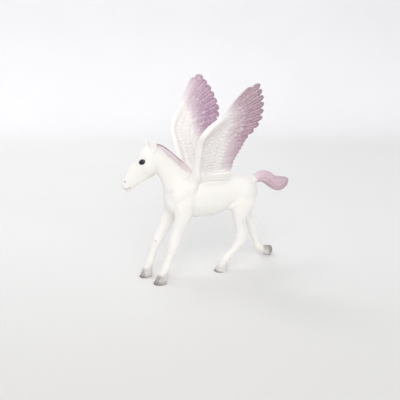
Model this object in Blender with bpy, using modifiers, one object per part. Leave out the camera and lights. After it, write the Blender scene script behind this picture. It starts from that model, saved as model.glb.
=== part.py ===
"""Winged foal, a small moulded toy figure in nine glued pieces.

The foal faces -X, its left side is -Y and its hooves stand on Z = 0.
Section tables are in table units in the frame of the sculpt, whose middle
plane is Y = 0.  One table unit is a millimetre at the figure's usual size, and
all of it follows the three main sizes.  The finished parts are then moved so
that the origin is the middle of the footprint of the whole figure.
"""
import math

import bmesh
import bpy
import numpy as np
from mathutils import Matrix, Vector

# Driving dimensions, in metres.  The first three are the whole figure's sizes:
# muzzle to tail, across the spread wings, and hooves to wing tips.
FIGURE_LENGTH = 0.1015
FIGURE_WIDTH = 0.0686
FIGURE_HEIGHT = 0.1089
SEAM_GAP = 0.0003
LEG_PEG_RADIUS = 0.0016
LEG_PEG_LENGTH = 0.0050
NECK_PEG_RADIUS = 0.0030
NECK_PEG_LENGTH = 0.0050
TAIL_PEG_RADIUS = 0.0011
TAIL_PEG_LENGTH = 0.0045
WING_TAB_LENGTH = 0.0100
WING_TAB_THICKNESS = 0.0017
WING_TAB_DEPTH = 0.0028
WING_TAB_ROOT = 0.0014
PEG_ROOT = 0.0010
SOCKET_MOUTH = 0.0006
BODY_CELL = 0.0006
BODY_FACES = 6700
WING_CELL = 0.00045
WING_FACES = 2500
TAIL_CELL = 0.0005
TAIL_FACES = 700
WING_LEAN = math.radians(26.6)
HEAD_TURN = math.radians(12.0)
FEATHER_THICKNESS = 0.0012
FEATHER_TILT = math.radians(9.0)

# The same three measures in table units, and the height of the soles there.
TABLE_SIZE = (101.5, 68.6, 108.9)
SOLE_LEVEL = 1.0
UNIT = np.array((FIGURE_LENGTH, FIGURE_WIDTH, FIGURE_HEIGHT)) / np.array(TABLE_SIZE)

# Trunk: x, z of the widest line, half width, height above it, depth below it.
TRUNK = [
    (35.4, 46.8, 1.6, 1.8, 1.8),
    (34.8, 46.7, 3.8, 3.9, 4.2),
    (33.0, 46.8, 5.8, 5.7, 6.0),
    (30.0, 46.9, 7.4, 7.7, 7.0),
    (26.4, 47.0, 8.2, 9.0, 7.5),
    (22.0, 46.9, 8.4, 9.7, 7.7),
    (17.5, 46.4, 8.2, 10.3, 8.2),
    (12.0, 46.0, 8.7, 10.9, 10.4),
    (6.0, 46.0, 9.1, 11.6, 11.6),
    (0.0, 46.2, 9.1, 12.7, 11.4),
    (-6.0, 46.4, 8.7, 13.8, 11.1),
    (-11.0, 46.4, 8.2, 12.8, 10.5),
    (-15.5, 46.6, 7.4, 10.8, 9.3),
    (-18.6, 46.9, 6.1, 8.3, 7.4),
    (-20.4, 47.2, 4.3, 5.4, 5.0),
    (-21.3, 47.3, 1.9, 2.3, 2.2),
]

# Neck: crest x and z, front x and z, half width, place of the widest line.
NECK = [
    (6.0, 57.0, -15.0, 39.0, 6.0, 0.55),
    (-1.0, 59.6, -19.8, 44.5, 6.9, 0.55),
    (-4.6, 61.6, -21.1, 49.6, 6.3, 0.55),
    (-8.6, 64.2, -21.7, 53.4, 5.4, 0.55),
    (-13.0, 66.9, -22.6, 57.0, 4.6, 0.52),
    (-17.2, 70.1, -24.2, 60.4, 4.1, 0.50),
    (-21.2, 73.6, -26.4, 63.4, 3.9, 0.50),
    (-25.4, 76.0, -29.0, 66.2, 3.4, 0.50),
]

# Head: brow line x and z, jaw line x and z, half width, widest line.
HEAD = [
    (-24.2, 74.4, -23.6, 69.4, 1.6, 0.5),
    (-25.6, 76.0, -23.6, 66.4, 2.8, 0.5),
    (-28.2, 76.8, -24.4, 63.6, 3.5, 0.5),
    (-31.4, 76.2, -25.8, 61.4, 3.8, 0.45),
    (-33.7, 74.2, -28.2, 60.2, 3.9, 0.42),
    (-35.0, 71.8, -31.0, 58.7, 3.6, 0.40),
    (-36.4, 69.3, -33.6, 57.2, 3.1, 0.45),
    (-38.4, 66.8, -35.8, 56.0, 2.7, 0.5),
    (-40.2, 64.5, -37.6, 54.6, 2.5, 0.5),
    (-41.6, 62.2, -39.2, 53.4, 2.6, 0.55),
    (-42.6, 60.2, -41.0, 53.1, 2.6, 0.55),
    (-43.3, 58.6, -42.6, 54.3, 1.9, 0.5),
    (-43.7, 57.6, -43.5, 55.6, 0.9, 0.5),
]

# Legs: x, y, z of the middle line, half size along the stride, half width.
LEFT_FORELEG = [
    (-10.5, -5.2, 50.5, 4.0, 3.0),
    (-11.4, -5.6, 46.0, 5.8, 3.6),
    (-12.2, -5.9, 41.5, 5.7, 3.7),
    (-13.1, -6.1, 37.2, 4.7, 3.4),
    (-14.7, -6.2, 33.2, 3.8, 3.0),
    (-16.2, -6.2, 29.0, 3.35, 2.7),
    (-17.6, -6.2, 25.0, 3.4, 2.9),
    (-18.7, -6.2, 21.8, 3.1, 2.8),
    (-20.0, -6.1, 18.2, 2.35, 2.2),
    (-21.4, -6.1, 14.6, 2.0, 1.9),
    (-22.5, -6.0, 11.8, 2.1, 2.0),
    (-23.3, -6.0, 9.4, 2.35, 2.25),
    (-24.3, -6.0, 7.6, 2.1, 2.05),
    (-25.2, -6.0, 6.0, 2.3, 2.3),
    (-25.8, -6.0, 4.6, 1.8, 1.8),
]
RIGHT_FORELEG = [
    (-11.5, 5.2, 50.5, 4.0, 3.0),
    (-12.4, 5.6, 46.0, 5.8, 3.6),
    (-13.4, 5.9, 41.5, 5.6, 3.7),
    (-14.9, 6.1, 37.0, 4.7, 3.4),
    (-17.1, 6.2, 33.0, 3.8, 3.0),
    (-19.4, 6.2, 29.0, 3.2, 2.7),
    (-21.5, 6.2, 25.3, 2.9, 2.6),
    (-23.3, 6.2, 22.0, 2.9, 2.8),
    (-24.8, 6.2, 18.8, 2.35, 2.3),
    (-26.1, 6.2, 15.2, 2.0, 1.9),
    (-27.2, 6.2, 12.0, 2.15, 2.0),
    (-28.1, 6.2, 9.2, 2.3, 2.2),
    (-29.0, 6.2, 7.4, 2.1, 2.05),
    (-29.8, 6.2, 5.8, 2.3, 2.3),
    (-30.2, 6.2, 4.6, 1.8, 1.8),
]
LEFT_HIND_LEG = [
    (25.5, -4.6, 49.5, 5.0, 3.2),
    (25.2, -4.8, 45.0, 7.4, 3.9),
    (24.4, -5.0, 40.5, 7.7, 4.1),
    (23.2, -5.1, 36.2, 6.0, 3.8),
    (22.6, -5.1, 32.2, 4.3, 3.2),
    (22.8, -5.1, 28.2, 3.2, 2.6),
    (23.5, -5.0, 24.8, 3.2, 2.5),
    (24.0, -5.0, 21.6, 3.7, 2.6),
    (23.4, -5.0, 18.0, 3.5, 2.6),
    (21.2, -4.9, 14.8, 2.6, 2.2),
    (18.6, -4.8, 12.0, 2.1, 1.9),
    (16.2, -4.7, 9.6, 2.2, 2.0),
    (14.4, -4.6, 7.7, 2.45, 2.25),
    (13.1, -4.5, 6.1, 2.25, 2.1),
    (12.2, -4.5, 4.6, 2.3, 2.3),
    (11.8, -4.5, 3.6, 1.8, 1.8),
]
RIGHT_HIND_LEG = [
    (26.0, 4.6, 49.5, 5.0, 3.2),
    (27.0, 4.8, 45.0, 7.4, 3.9),
    (27.5, 4.9, 40.5, 7.0, 4.1),
    (29.2, 4.9, 36.0, 5.3, 3.8),
    (31.7, 4.9, 31.6, 4.0, 3.2),
    (33.9, 4.8, 27.4, 2.8, 2.5),
    (35.6, 4.8, 23.6, 2.6, 2.4),
    (37.0, 4.7, 20.2, 2.9, 2.5),
    (38.1, 4.7, 16.8, 2.5, 2.2),
    (39.3, 4.6, 13.2, 1.95, 1.9),
    (40.4, 4.6, 10.2, 2.15, 2.0),
    (41.6, 4.6, 7.8, 2.3, 2.2),
    (43.2, 4.6, 6.2, 2.1, 2.05),
    (44.9, 4.6, 5.3, 2.2, 2.2),
    (46.2, 4.6, 4.9, 1.7, 1.7),
]

# Hooves: coronet middle, sole middle, coronet radius, sole half length.
HOOVES = [
    ((-25.2, -6.0, 6.4), (-26.9, -6.0, 0.2), 2.65, 3.8),
    ((-29.8, 6.2, 6.2), (-31.2, 6.2, 0.2), 2.65, 3.6),
    ((12.3, -4.5, 5.0), (11.1, -4.5, 0.2), 2.85, 4.0),
    ((44.2, 4.6, 5.3), (50.0, 4.6, 3.6), 2.4, 3.15),
]

# Muscles that swell the lofts: middle, half sizes, pitch in degrees.
MUSCLES = [
    ((-13.0, -4.2, 48.5), (6.2, 4.6, 9.0), -22.0),
    ((-13.0, 4.2, 48.5), (6.2, 4.6, 9.0), -22.0),
    ((25.6, -4.4, 46.6), (7.6, 4.6, 7.4), 20.0),
    ((25.6, 4.4, 46.6), (7.6, 4.6, 7.4), -10.0),
    ((-29.0, -1.3, 66.6), (4.3, 2.9, 4.6), 0.0),
    ((-29.0, 2.3, 66.6), (4.3, 2.9, 4.6), 0.0),
    ((-2.0, 0.0, 55.0), (11.0, 5.4, 4.4), 4.0),
    ((3.6, -4.3, 53.6), (12.0, 3.2, 3.3), 2.0),
    ((3.6, 4.3, 53.6), (12.0, 3.2, 3.3), 2.0),
    ((-6.2, -5.4, 55.6), (4.6, 3.3, 5.2), -8.0),
    ((-6.2, 5.4, 55.6), (4.6, 3.3, 5.2), -8.0),
]

# Ears: foot, tip, half width, and the turn of the hollow side out from ahead.
EARS = [
    ((-27.9, -1.9, 74.2), (-26.7, -2.5, 80.6), 1.65, -60.0),
    ((-28.2, 2.6, 74.8), (-29.8, 3.6, 80.4), 1.55, 60.0),
]

# Mane ridge: x, z of its middle line, half height, half thickness.
MANE = [
    (-27.0, 76.4, 0.7, 0.5),
    (-25.2, 76.4, 1.5, 1.0),
    (-22.4, 74.9, 1.8, 1.3),
    (-18.8, 72.0, 1.9, 1.4),
    (-15.0, 68.6, 1.9, 1.4),
    (-11.2, 65.2, 1.9, 1.4),
    (-7.8, 62.4, 1.7, 1.3),
    (-5.4, 60.8, 1.1, 0.9),
]

# Tail plume: x, z of its middle line, half height, half thickness.
TAIL = [
    (32.6, 51.0, 1.3, 1.3),
    (35.0, 52.4, 1.8, 1.7),
    (37.4, 53.7, 2.6, 2.0),
    (40.4, 53.6, 3.6, 2.4),
    (44.0, 51.7, 3.7, 2.7),
    (47.6, 49.2, 3.7, 2.8),
    (51.0, 48.0, 4.2, 2.6),
    (54.2, 48.6, 3.6, 2.1),
    (56.6, 49.6, 2.0, 1.4),
    (57.7, 50.2, 0.6, 0.5),
]

# Wing leading arm: x, height up the wing, radius.
WING_ARM = [
    (-4.6, -7.0, 1.6),
    (-5.6, -3.0, 2.1),
    (-6.4, 2.0, 2.2),
    (-7.0, 8.0, 2.1),
    (-7.6, 14.0, 2.0),
    (-8.1, 20.0, 2.0),
    (-8.1, 25.0, 2.0),
    (-6.8, 29.4, 1.9),
    (-4.4, 33.4, 1.7),
    (-1.0, 37.2, 1.4),
    (2.3, 41.0, 1.1),
    (5.2, 45.2, 0.9),
    (7.6, 49.4, 0.8),
    (9.6, 53.0, 0.6),
]

# Tips of the feathers, row by row: x and height up the wing.
PRIMARY_TIPS = [
    (12.2, 56.2), (16.4, 57.9), (18.7, 53.6), (20.6, 50.2), (21.9, 46.3),
    (22.8, 42.4), (23.4, 38.1), (22.6, 33.8), (21.0, 29.9), (19.0, 26.7),
]
SECONDARY_TIPS = [
    (18.2, 24.2), (17.6, 21.0), (16.8, 18.2), (15.6, 15.5), (14.7, 12.8), (14.1, 10.2),
    (14.1, 7.6), (14.2, 5.0), (14.2, 2.4),
]
GREAT_COVERT_TIPS = [
    (9.6, 45.2), (12.2, 42.0), (13.5, 38.6), (13.8, 35.0), (13.0, 31.4),
    (10.8, 28.2), (8.4, 25.0), (7.2, 21.6), (6.8, 18.2), (6.9, 14.8),
    (7.0, 11.6), (7.2, 8.4), (7.4, 5.2), (7.6, 2.2),
]
SMALL_COVERT_TIPS = [
    (5.4, 42.6), (6.4, 39.2), (6.4, 35.6), (5.4, 32.2), (3.8, 29.0),
    (2.4, 25.8), (1.6, 22.4), (1.4, 19.0), (1.6, 15.6), (2.0, 12.2),
    (2.3, 8.8), (2.6, 5.4), (2.8, 2.0),
]

# Each row: tips, foot of its first and last feather, half width, thickness,
# bend and steps along a feather.  The long feathers take FEATHER_THICKNESS.
LONG_FEATHERS = FEATHER_THICKNESS / UNIT[1]
FEATHER_ROWS = [
    (PRIMARY_TIPS, (1.0, 38.9), (-7.6, 22.0), 2.4, LONG_FEATHERS, 0.5, 9),
    (SECONDARY_TIPS, (-7.6, 20.0), (-6.4, 0.6), 1.95, LONG_FEATHERS, 0.5, 9),
    (GREAT_COVERT_TIPS, (-1.8, 37.0), (-6.2, 0.6), 1.75, 2.0, 0.3, 7),
    (SMALL_COVERT_TIPS, (-3.4, 34.6), (-6.4, 0.8), 1.75, 2.7, 0.3, 7),
]

# Thick foot of a wing: height, rear x, front x, half thickness.
WING_ROOT = [
    (-9.0, 13.5, -7.0, 1.5),
    (-4.0, 14.8, -7.4, 1.6),
    (-1.0, 15.2, -7.6, 1.5),
    (2.0, 14.0, -7.4, 1.3),
    (6.0, 9.0, -7.4, 1.1),
    (11.0, 3.0, -7.4, 1.0),
]


def spot(point):
    """A place given in table units, in metres."""
    return Vector(np.array(point) * UNIT)


def start_empty():
    """Clear the open scene and make the two collections."""
    for existing in list(bpy.data.objects):
        bpy.data.objects.remove(existing, do_unlink=True)
    scene = bpy.context.scene
    parts = bpy.data.collections.new("winged_foal")
    cutters = bpy.data.collections.new("cutters")
    scene.collection.children.link(parts)
    scene.collection.children.link(cutters)
    return parts, cutters


PARTS, CUTTERS = start_empty()


def plastic(name, colour, roughness):
    """A moulded plastic for one part."""
    material = bpy.data.materials.new(name)
    material.use_nodes = True
    shader = material.node_tree.nodes["Principled BSDF"]
    shader.inputs["Base Color"].default_value = (*colour, 1.0)
    shader.inputs["Roughness"].default_value = roughness
    shader.inputs["Metallic"].default_value = 0.0
    return material


def smooth_rows(table, steps):
    """Catmull-Rom curve through the rows of a section table."""
    rows = np.array(table, dtype=float)
    padded = np.vstack([2 * rows[0] - rows[1], rows, 2 * rows[-1] - rows[-2]])
    result = []
    for index in range(len(rows) - 1):
        before, start, end, after = padded[index:index + 4]
        for step in range(steps):
            t = step / steps
            result.append(0.5 * (
                2 * start
                + (end - before) * t
                + (2 * before - 5 * start + 4 * end - after) * t ** 2
                + (3 * start - before - 3 * end + after) * t ** 3))
    result.append(rows[-1])
    return np.array(result)


def ring(middle, sideways, up, down, sides, power):
    """One closed section, squarer as the power grows."""
    points = []
    for index in range(sides):
        angle = 2 * math.pi * index / sides
        across = math.copysign(abs(math.cos(angle)) ** (2 / power), math.cos(angle))
        rise = math.copysign(abs(math.sin(angle)) ** (2 / power), math.sin(angle))
        height = up * rise if rise > 0 else down * -rise
        points.append(middle + sideways * across + height)
    return points


def loft(rings):
    """Vertices and faces of a closed skin over the rings."""
    sides = len(rings[0])
    points = [point for one_ring in rings for point in one_ring]
    faces = []
    for row in range(len(rings) - 1):
        for side in range(sides):
            a = row * sides + side
            b = row * sides + (side + 1) % sides
            faces.append((a, b, b + sides, a + sides))
    faces.append(tuple(reversed(range(sides))))
    last = (len(rings) - 1) * sides
    faces.append(tuple(range(last, last + sides)))
    return points, faces


def solid(name, pieces, collection):
    """One object from several closed skins, all facing out."""
    points = []
    faces = []
    for piece_points, piece_faces in pieces:
        start = len(points)
        points += [tuple(point) for point in piece_points]
        faces += [tuple(start + index for index in face) for face in piece_faces]
    mesh = bpy.data.meshes.new(name)
    mesh.from_pydata(points, [], faces)
    skin = bmesh.new()
    skin.from_mesh(mesh)
    bmesh.ops.recalc_face_normals(skin, faces=skin.faces)
    skin.to_mesh(mesh)
    skin.free()
    result = bpy.data.objects.new(name, mesh)
    collection.objects.link(result)
    return result


def trunk_skin(steps=4, sides=32):
    rings = []
    for x, z, width, above, below in smooth_rows(TRUNK, steps):
        middle = np.array((x, 0.0, z)) * UNIT
        rings.append(ring(
            middle, np.array((0.0, width, 0.0)) * UNIT, np.array((0.0, 0.0, above)) * UNIT,
            np.array((0.0, 0.0, -below)) * UNIT, sides, 2.15))
    return loft(rings)


def head_shift(x):
    """How far the turned head has moved towards +Y at this x."""
    return max(0.0, -26.0 - x) * math.tan(HEAD_TURN)


def profile_skin(table, turned, steps=4, sides=28, power=2.1):
    """A skin between an upper and a lower outline in the middle plane."""
    rings = []
    for top_x, top_z, low_x, low_z, width, place in smooth_rows(table, steps):
        top = np.array((top_x, 0.0, top_z))
        low = np.array((low_x, 0.0, low_z))
        if turned:
            top[1] = head_shift(top_x)
            low[1] = head_shift(low_x)
        middle = top + (low - top) * place
        sideways = np.array((0.0, width, 0.0))
        if turned:
            sideways = np.array((width * math.sin(HEAD_TURN), width * math.cos(HEAD_TURN), 0.0))
        rings.append(ring(
            middle * UNIT, sideways * UNIT, (top - middle) * UNIT, (low - middle) * UNIT,
            sides, power))
    return loft(rings)


def limb_skin(table, steps=4, sides=24, power=2.2):
    """A skin along a middle line with two half sizes at each point."""
    rows = smooth_rows(table, steps)
    line = rows[:, :3]
    along = np.gradient(line, axis=0)
    rings = []
    for middle, direction, row in zip(line, along, rows):
        direction = direction / np.linalg.norm(direction)
        sideways = np.array((0.0, 1.0, 0.0))
        stride = np.cross(sideways, direction)
        stride = stride / np.linalg.norm(stride)
        rings.append(ring(
            middle * UNIT, sideways * row[4] * UNIT, stride * row[3] * UNIT,
            -stride * row[3] * UNIT, sides, power))
    return loft(rings)


def ridge_skin(table, steps=4, sides=20, power=2.2):
    """A flattened skin in the middle plane, for the mane and the tail."""
    rows = [(x, 0.0, z, height, thick) for x, z, height, thick in table]
    return limb_skin(rows, steps, sides, power)


def hoof_skin(coronet, sole, top_radius, sole_half, sides=24):
    """A hoof that widens from the coronet to the sole, cut square at both."""
    coronet = np.array(coronet)
    sole = np.array(sole)
    axis = (sole - coronet) / np.linalg.norm(sole - coronet)
    sideways = np.array((0.0, 1.0, 0.0))
    if axis[2] < -0.8:
        stride = np.array((1.0, 0.0, 0.0))
    else:
        stride = np.cross(sideways, axis)
    rings = []
    for place, grow in ((-0.14, 0.72), (-0.05, 0.95), (0.0, 1.0), (0.12, 1.02), (1.0, 0.0)):
        middle = coronet + (sole - coronet) * place
        half = top_radius * grow if place < 1.0 else sole_half
        rings.append(ring(
            middle * UNIT, sideways * half * 0.92 * UNIT, stride * half * UNIT,
            -stride * half * UNIT, sides, 2.3))
    return loft(rings)


def muscle_skin(middle, half_sizes, pitch):
    """A swelling, as a stretched ball."""
    ball = bmesh.new()
    bmesh.ops.create_uvsphere(ball, u_segments=24, v_segments=16, radius=1.0)
    place = (
        Matrix.Diagonal((*UNIT, 1.0))
        @ Matrix.Translation(middle)
        @ Matrix.Rotation(math.radians(pitch), 4, "Y")
        @ Matrix.Diagonal((*half_sizes, 1.0)))
    bmesh.ops.transform(ball, matrix=place, verts=ball.verts)
    points = [np.array(vertex.co) for vertex in ball.verts]
    faces = [tuple(vertex.index for vertex in face.verts) for face in ball.faces]
    ball.free()
    return points, faces


def ear_skin(foot, tip, half_width, turn, sides=16):
    """A leaf shaped ear, turned out from the head."""
    foot = np.array(foot)
    tip = np.array(tip)
    axis = (tip - foot) / np.linalg.norm(tip - foot)
    stride = np.cross((0.0, 1.0, 0.0), axis)
    stride = stride / np.linalg.norm(stride)
    across = np.cross(axis, stride)
    turn = math.radians(turn)
    broad = across * math.cos(turn) + stride * math.sin(turn)
    thin = stride * math.cos(turn) - across * math.sin(turn)
    rings = []
    shape = ((-0.25, 0.7, 1.0), (0.0, 0.85, 0.95), (0.25, 1.0, 0.85), (0.5, 0.95, 0.72),
             (0.72, 0.70, 0.6), (0.88, 0.40, 0.45), (1.0, 0.12, 0.15))
    for place, wide, deep in shape:
        middle = foot + (tip - foot) * place
        rings.append(ring(
            middle * UNIT, broad * half_width * wide * UNIT, thin * deep * 0.9 * UNIT,
            -thin * deep * 0.9 * UNIT, sides, 2.0))
    return loft(rings)


def reshape(source, name, collection, modifiers):
    """Replace an object by the result of a list of modifiers."""
    for kind, settings in modifiers:
        modifier = source.modifiers.new(kind.lower(), kind)
        for key, value in settings.items():
            setattr(modifier, key, value)
    mesh = evaluated_copy(source, name)
    bpy.data.objects.remove(source, do_unlink=True)
    result = bpy.data.objects.new(name, mesh)
    collection.objects.link(result)
    return result


def evaluated_copy(source, name):
    bpy.context.view_layer.update()
    graph = bpy.context.evaluated_depsgraph_get()
    mesh = bpy.data.meshes.new_from_object(source.evaluated_get(graph), depsgraph=graph)
    mesh.name = name
    return mesh


def decimate_to(source, name, collection, faces):
    """Fewer faces, as triangles."""
    triangles = sum(len(face.vertices) - 2 for face in source.data.polygons)
    ratio = min(1.0, faces / triangles)
    return reshape(source, name, collection, [("DECIMATE", {"ratio": ratio})])


def cut(target, cutter, operation="DIFFERENCE"):
    """A Boolean that stays on the part."""
    modifier = target.modifiers.new(operation.lower(), "BOOLEAN")
    modifier.operation = operation
    modifier.solver = "EXACT"
    modifier.object = cutter


def apply_all(target):
    """Make the result of the modifiers the mesh of the object."""
    mesh = evaluated_copy(target, target.name)
    target.modifiers.clear()
    target.data = mesh


def guide(name, mesh_maker):
    """A hidden shape that cuts or joins a part."""
    shape = bmesh.new()
    mesh_maker(shape)
    mesh = bpy.data.meshes.new(name)
    shape.to_mesh(mesh)
    shape.free()
    result = bpy.data.objects.new(name, mesh)
    CUTTERS.objects.link(result)
    result.hide_render = True
    result.display_type = "WIRE"
    return result


def aim(location, direction):
    """Placement with the local Z axis along the direction."""
    turn = Vector(direction).normalized().to_track_quat("Z", "Y")
    return Matrix.Translation(location) @ turn.to_matrix().to_4x4()


def rod(name, start, direction, radius, length, segments=20):
    """A round peg or a hole, from its start along its direction."""
    def build(shape):
        bmesh.ops.create_cone(
            shape, cap_ends=True, segments=segments, radius1=radius, radius2=radius,
            depth=length)
        bmesh.ops.translate(shape, vec=(0.0, 0.0, length / 2), verts=shape.verts)
        bmesh.ops.transform(shape, matrix=aim(start, direction), verts=shape.verts)
    return guide(name, build)


def box(name, middle, half_sizes, axes=None):
    """A block, with its sides along the given axes."""
    def build(shape):
        bmesh.ops.create_cube(shape, size=2.0)
        bmesh.ops.transform(
            shape, matrix=Matrix.Diagonal((*half_sizes, 1.0)), verts=shape.verts)
        turn = Matrix.Identity(4)
        if axes:
            turn = Matrix(axes).transposed().to_4x4()
        bmesh.ops.transform(
            shape, matrix=Matrix.Translation(middle) @ turn, verts=shape.verts)
    return guide(name, build)


# Seams across the body: middle, direction out of the torso, half sizes.
SEAMS = {
    "head_and_neck": ((-14.0, 0.0, 56.6), (-0.62, 0.0, 0.78), (14.0, 11.0)),
    "foreleg_left": ((-14.0, -6.6, 34.8), (-0.40, 0.0, -0.92), (7.0, 6.0)),
    "foreleg_right": ((-16.2, 6.6, 34.6), (-0.50, 0.0, -0.87), (7.0, 6.0)),
    "hind_leg_left": ((22.9, -6.6, 33.6), (-0.10, 0.0, -0.995), (9.0, 6.4)),
    "hind_leg_right": ((30.6, 6.6, 33.4), (0.42, 0.0, -0.907), (9.0, 6.4)),
}


def seam_axes(direction):
    out = Vector(direction).normalized()
    sideways = Vector((0.0, 1.0, 0.0))
    stride = sideways.cross(out).normalized()
    return stride, sideways, out


def body_master():
    """The whole foal without wings and tail, as one smooth skin."""
    pieces = [
        trunk_skin(),
        profile_skin(NECK, turned=False),
        profile_skin(HEAD, turned=True),
        ridge_skin(MANE),
    ]
    for table in (LEFT_FORELEG, RIGHT_FORELEG, LEFT_HIND_LEG, RIGHT_HIND_LEG):
        pieces.append(limb_skin(table))
    for hoof in HOOVES:
        pieces.append(hoof_skin(*hoof))
    for muscle in MUSCLES:
        pieces.append(muscle_skin(*muscle))
    for ear in EARS:
        pieces.append(ear_skin(*ear))
    rough = solid("body_master", pieces, CUTTERS)
    smooth = reshape(rough, "body_master", CUTTERS, [
        ("REMESH", {"mode": "VOXEL", "voxel_size": BODY_CELL, "adaptivity": 0.0}),
        ("SMOOTH", {"factor": 0.5, "iterations": 5}),
    ])
    return decimate_to(smooth, "body_master", CUTTERS, BODY_FACES)


def swollen(source, name, amount):
    """A copy grown along its normals, which cuts a neighbour with a gap."""
    copy = bpy.data.objects.new(name, source.data.copy())
    CUTTERS.objects.link(copy)
    result = reshape(copy, name, CUTTERS, [
        ("DISPLACE", {"strength": amount, "mid_level": 0.0, "direction": "NORMAL"}),
    ])
    result.hide_render = True
    result.display_type = "WIRE"
    return result


def separate(source):
    """The loose pieces of one mesh, as objects."""
    whole = bmesh.new()
    whole.from_mesh(source.data)
    left = set(whole.faces)
    groups = []
    while left:
        group = set()
        queue = [left.pop()]
        while queue:
            face = queue.pop()
            group.add(face.index)
            for edge in face.edges:
                for neighbour in edge.link_faces:
                    if neighbour in left:
                        left.remove(neighbour)
                        queue.append(neighbour)
        groups.append(group)
    whole.free()
    pieces = []
    for group in groups:
        piece = bmesh.new()
        piece.from_mesh(source.data)
        piece.faces.ensure_lookup_table()
        extra = [face for face in piece.faces if face.index not in group]
        bmesh.ops.delete(piece, geom=extra, context="FACES")
        loose = [vertex for vertex in piece.verts if not vertex.link_faces]
        bmesh.ops.delete(piece, geom=loose, context="VERTS")
        mesh = bpy.data.meshes.new("piece")
        piece.to_mesh(mesh)
        piece.free()
        result = bpy.data.objects.new("piece", mesh)
        CUTTERS.objects.link(result)
        pieces.append(result)
    return pieces


def middle_of(part):
    corners = np.array([vertex.co for vertex in part.data.vertices])
    return (corners.min(axis=0) + corners.max(axis=0)) / 2


def name_pieces(pieces):
    """Sort the cut body into its named parts."""
    targets = {
        "torso": (7.0, 0.0, 47.0),
        "head_and_neck": (-28.0, 1.0, 67.0),
        "foreleg_left": (-20.0, -6.0, 18.0),
        "foreleg_right": (-24.0, 6.0, 18.0),
        "hind_leg_left": (18.0, -5.0, 17.0),
        "hind_leg_right": (41.0, 5.0, 17.0),
    }
    parts = {}
    for name, place in targets.items():
        distance = [
            np.linalg.norm(middle_of(piece) - np.array(place) * UNIT) for piece in pieces]
        piece = pieces.pop(int(np.argmin(distance)))
        CUTTERS.objects.unlink(piece)
        PARTS.objects.link(piece)
        piece.name = name
        piece.data.name = name
        parts[name] = piece
    return parts


def cut_body(master):
    """Cut the seams, flatten the soles and name the pieces."""
    depth = FIGURE_HEIGHT / 20
    ground = box(
        "ground", (0.0, 0.0, SOLE_LEVEL * UNIT[2] - depth),
        (FIGURE_LENGTH, FIGURE_LENGTH, depth))
    cut(master, ground)
    for name, (middle, direction, half_sizes) in SEAMS.items():
        slab = box(
            "seam_" + name, spot(middle),
            (half_sizes[0] * UNIT[0], half_sizes[1] * UNIT[1], SEAM_GAP / 2),
            seam_axes(direction))
        cut(master, slab)
    apply_all(master)
    return name_pieces(separate(master))


PEGS = {
    "head_and_neck": (NECK_PEG_RADIUS, NECK_PEG_LENGTH),
    "foreleg_left": (LEG_PEG_RADIUS, LEG_PEG_LENGTH),
    "foreleg_right": (LEG_PEG_RADIUS, LEG_PEG_LENGTH),
    "hind_leg_left": (LEG_PEG_RADIUS, LEG_PEG_LENGTH),
    "hind_leg_right": (LEG_PEG_RADIUS, LEG_PEG_LENGTH),
}
TAIL_PEG = ((35.6, 0.0, 52.4), (0.86, 0.0, 0.5))
PEG_SPOTS = {
    "head_and_neck": (-14.0, 0.0, 56.6),
    "foreleg_left": (-13.9, -6.1, 34.8),
    "foreleg_right": (-16.1, 6.1, 34.6),
    "hind_leg_left": (22.7, -5.1, 33.6),
    "hind_leg_right": (30.6, 4.9, 33.4),
}


def add_peg(part, torso, place, outward, radius, length):
    """A peg on the part and the socket for it in the torso."""
    out = Vector(outward).normalized()
    peg = rod(
        "peg_" + part.name, spot(place) + out * PEG_ROOT, -out, radius, length + PEG_ROOT)
    cut(part, peg, "UNION")
    hole = rod(
        "socket_" + part.name, spot(place) + out * SOCKET_MOUTH, -out, radius + SEAM_GAP,
        length + SEAM_GAP + SOCKET_MOUTH)
    cut(torso, hole)


def feather(foot, tip, half_width, thickness, bend, steps, sides=12):
    """One feather lying in the wing: x, height up the wing, outward offset."""
    foot = np.array((foot[0], foot[1], 0.0))
    tip = np.array((tip[0], tip[1], 0.0))
    axis = tip - foot
    length = np.linalg.norm(axis)
    axis = axis / length
    flat = np.cross((0.0, 0.0, 1.0), axis)
    side = flat * math.cos(FEATHER_TILT) + np.array((0.0, 0.0, 1.0)) * math.sin(FEATHER_TILT)
    lift = np.cross(axis, side)
    rings = []
    for step in range(steps + 1):
        t = step / steps
        t = 1 - (1 - t) ** 1.6
        wide = 0.70 + 0.30 * math.sin(min(1.0, t / 0.62) * math.pi / 2)
        if t > 0.88:
            wide *= math.sqrt(max(0.04, 1 - ((t - 0.88) / 0.12) ** 2))
        deep = 1.0 - 0.35 * t
        middle = foot + axis * length * t + flat * bend * math.sin(math.pi * t)
        rings.append(ring(
            middle, side * half_width * wide, lift * thickness / 2 * deep,
            -lift * thickness / 2 * deep, sides, 2.8))
    return loft(rings)


def feet_between(first, last, count):
    """Feet of a row of feathers, evenly along a straight line."""
    return [
        (first[0] + (last[0] - first[0]) * index / (count - 1),
         first[1] + (last[1] - first[1]) * index / (count - 1)) for index in range(count)]


def wing_blade_pieces():
    """All feathers and the arm of one wing, flat, in table units."""
    pieces = []
    for tips, first, last, half_width, thickness, bend, steps in FEATHER_ROWS:
        for foot, tip in zip(feet_between(first, last, len(tips)), tips):
            pieces.append(feather(foot, tip, half_width, thickness, bend, steps))
    arm = smooth_rows(WING_ARM, 3)
    line = np.column_stack((arm[:, 0], arm[:, 1], np.zeros(len(arm))))
    along = np.gradient(line, axis=0)
    rings = []
    for middle, direction, row in zip(line, along, arm):
        direction = direction / np.linalg.norm(direction)
        lift = np.array((0.0, 0.0, 1.0))
        flat = np.cross(lift, direction)
        rings.append(ring(
            middle, flat * row[2], lift * row[2] * 0.95, -lift * row[2] * 0.95, 16, 2.0))
    pieces.append(loft(rings))
    pieces.append(root_skin())
    return pieces


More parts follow.
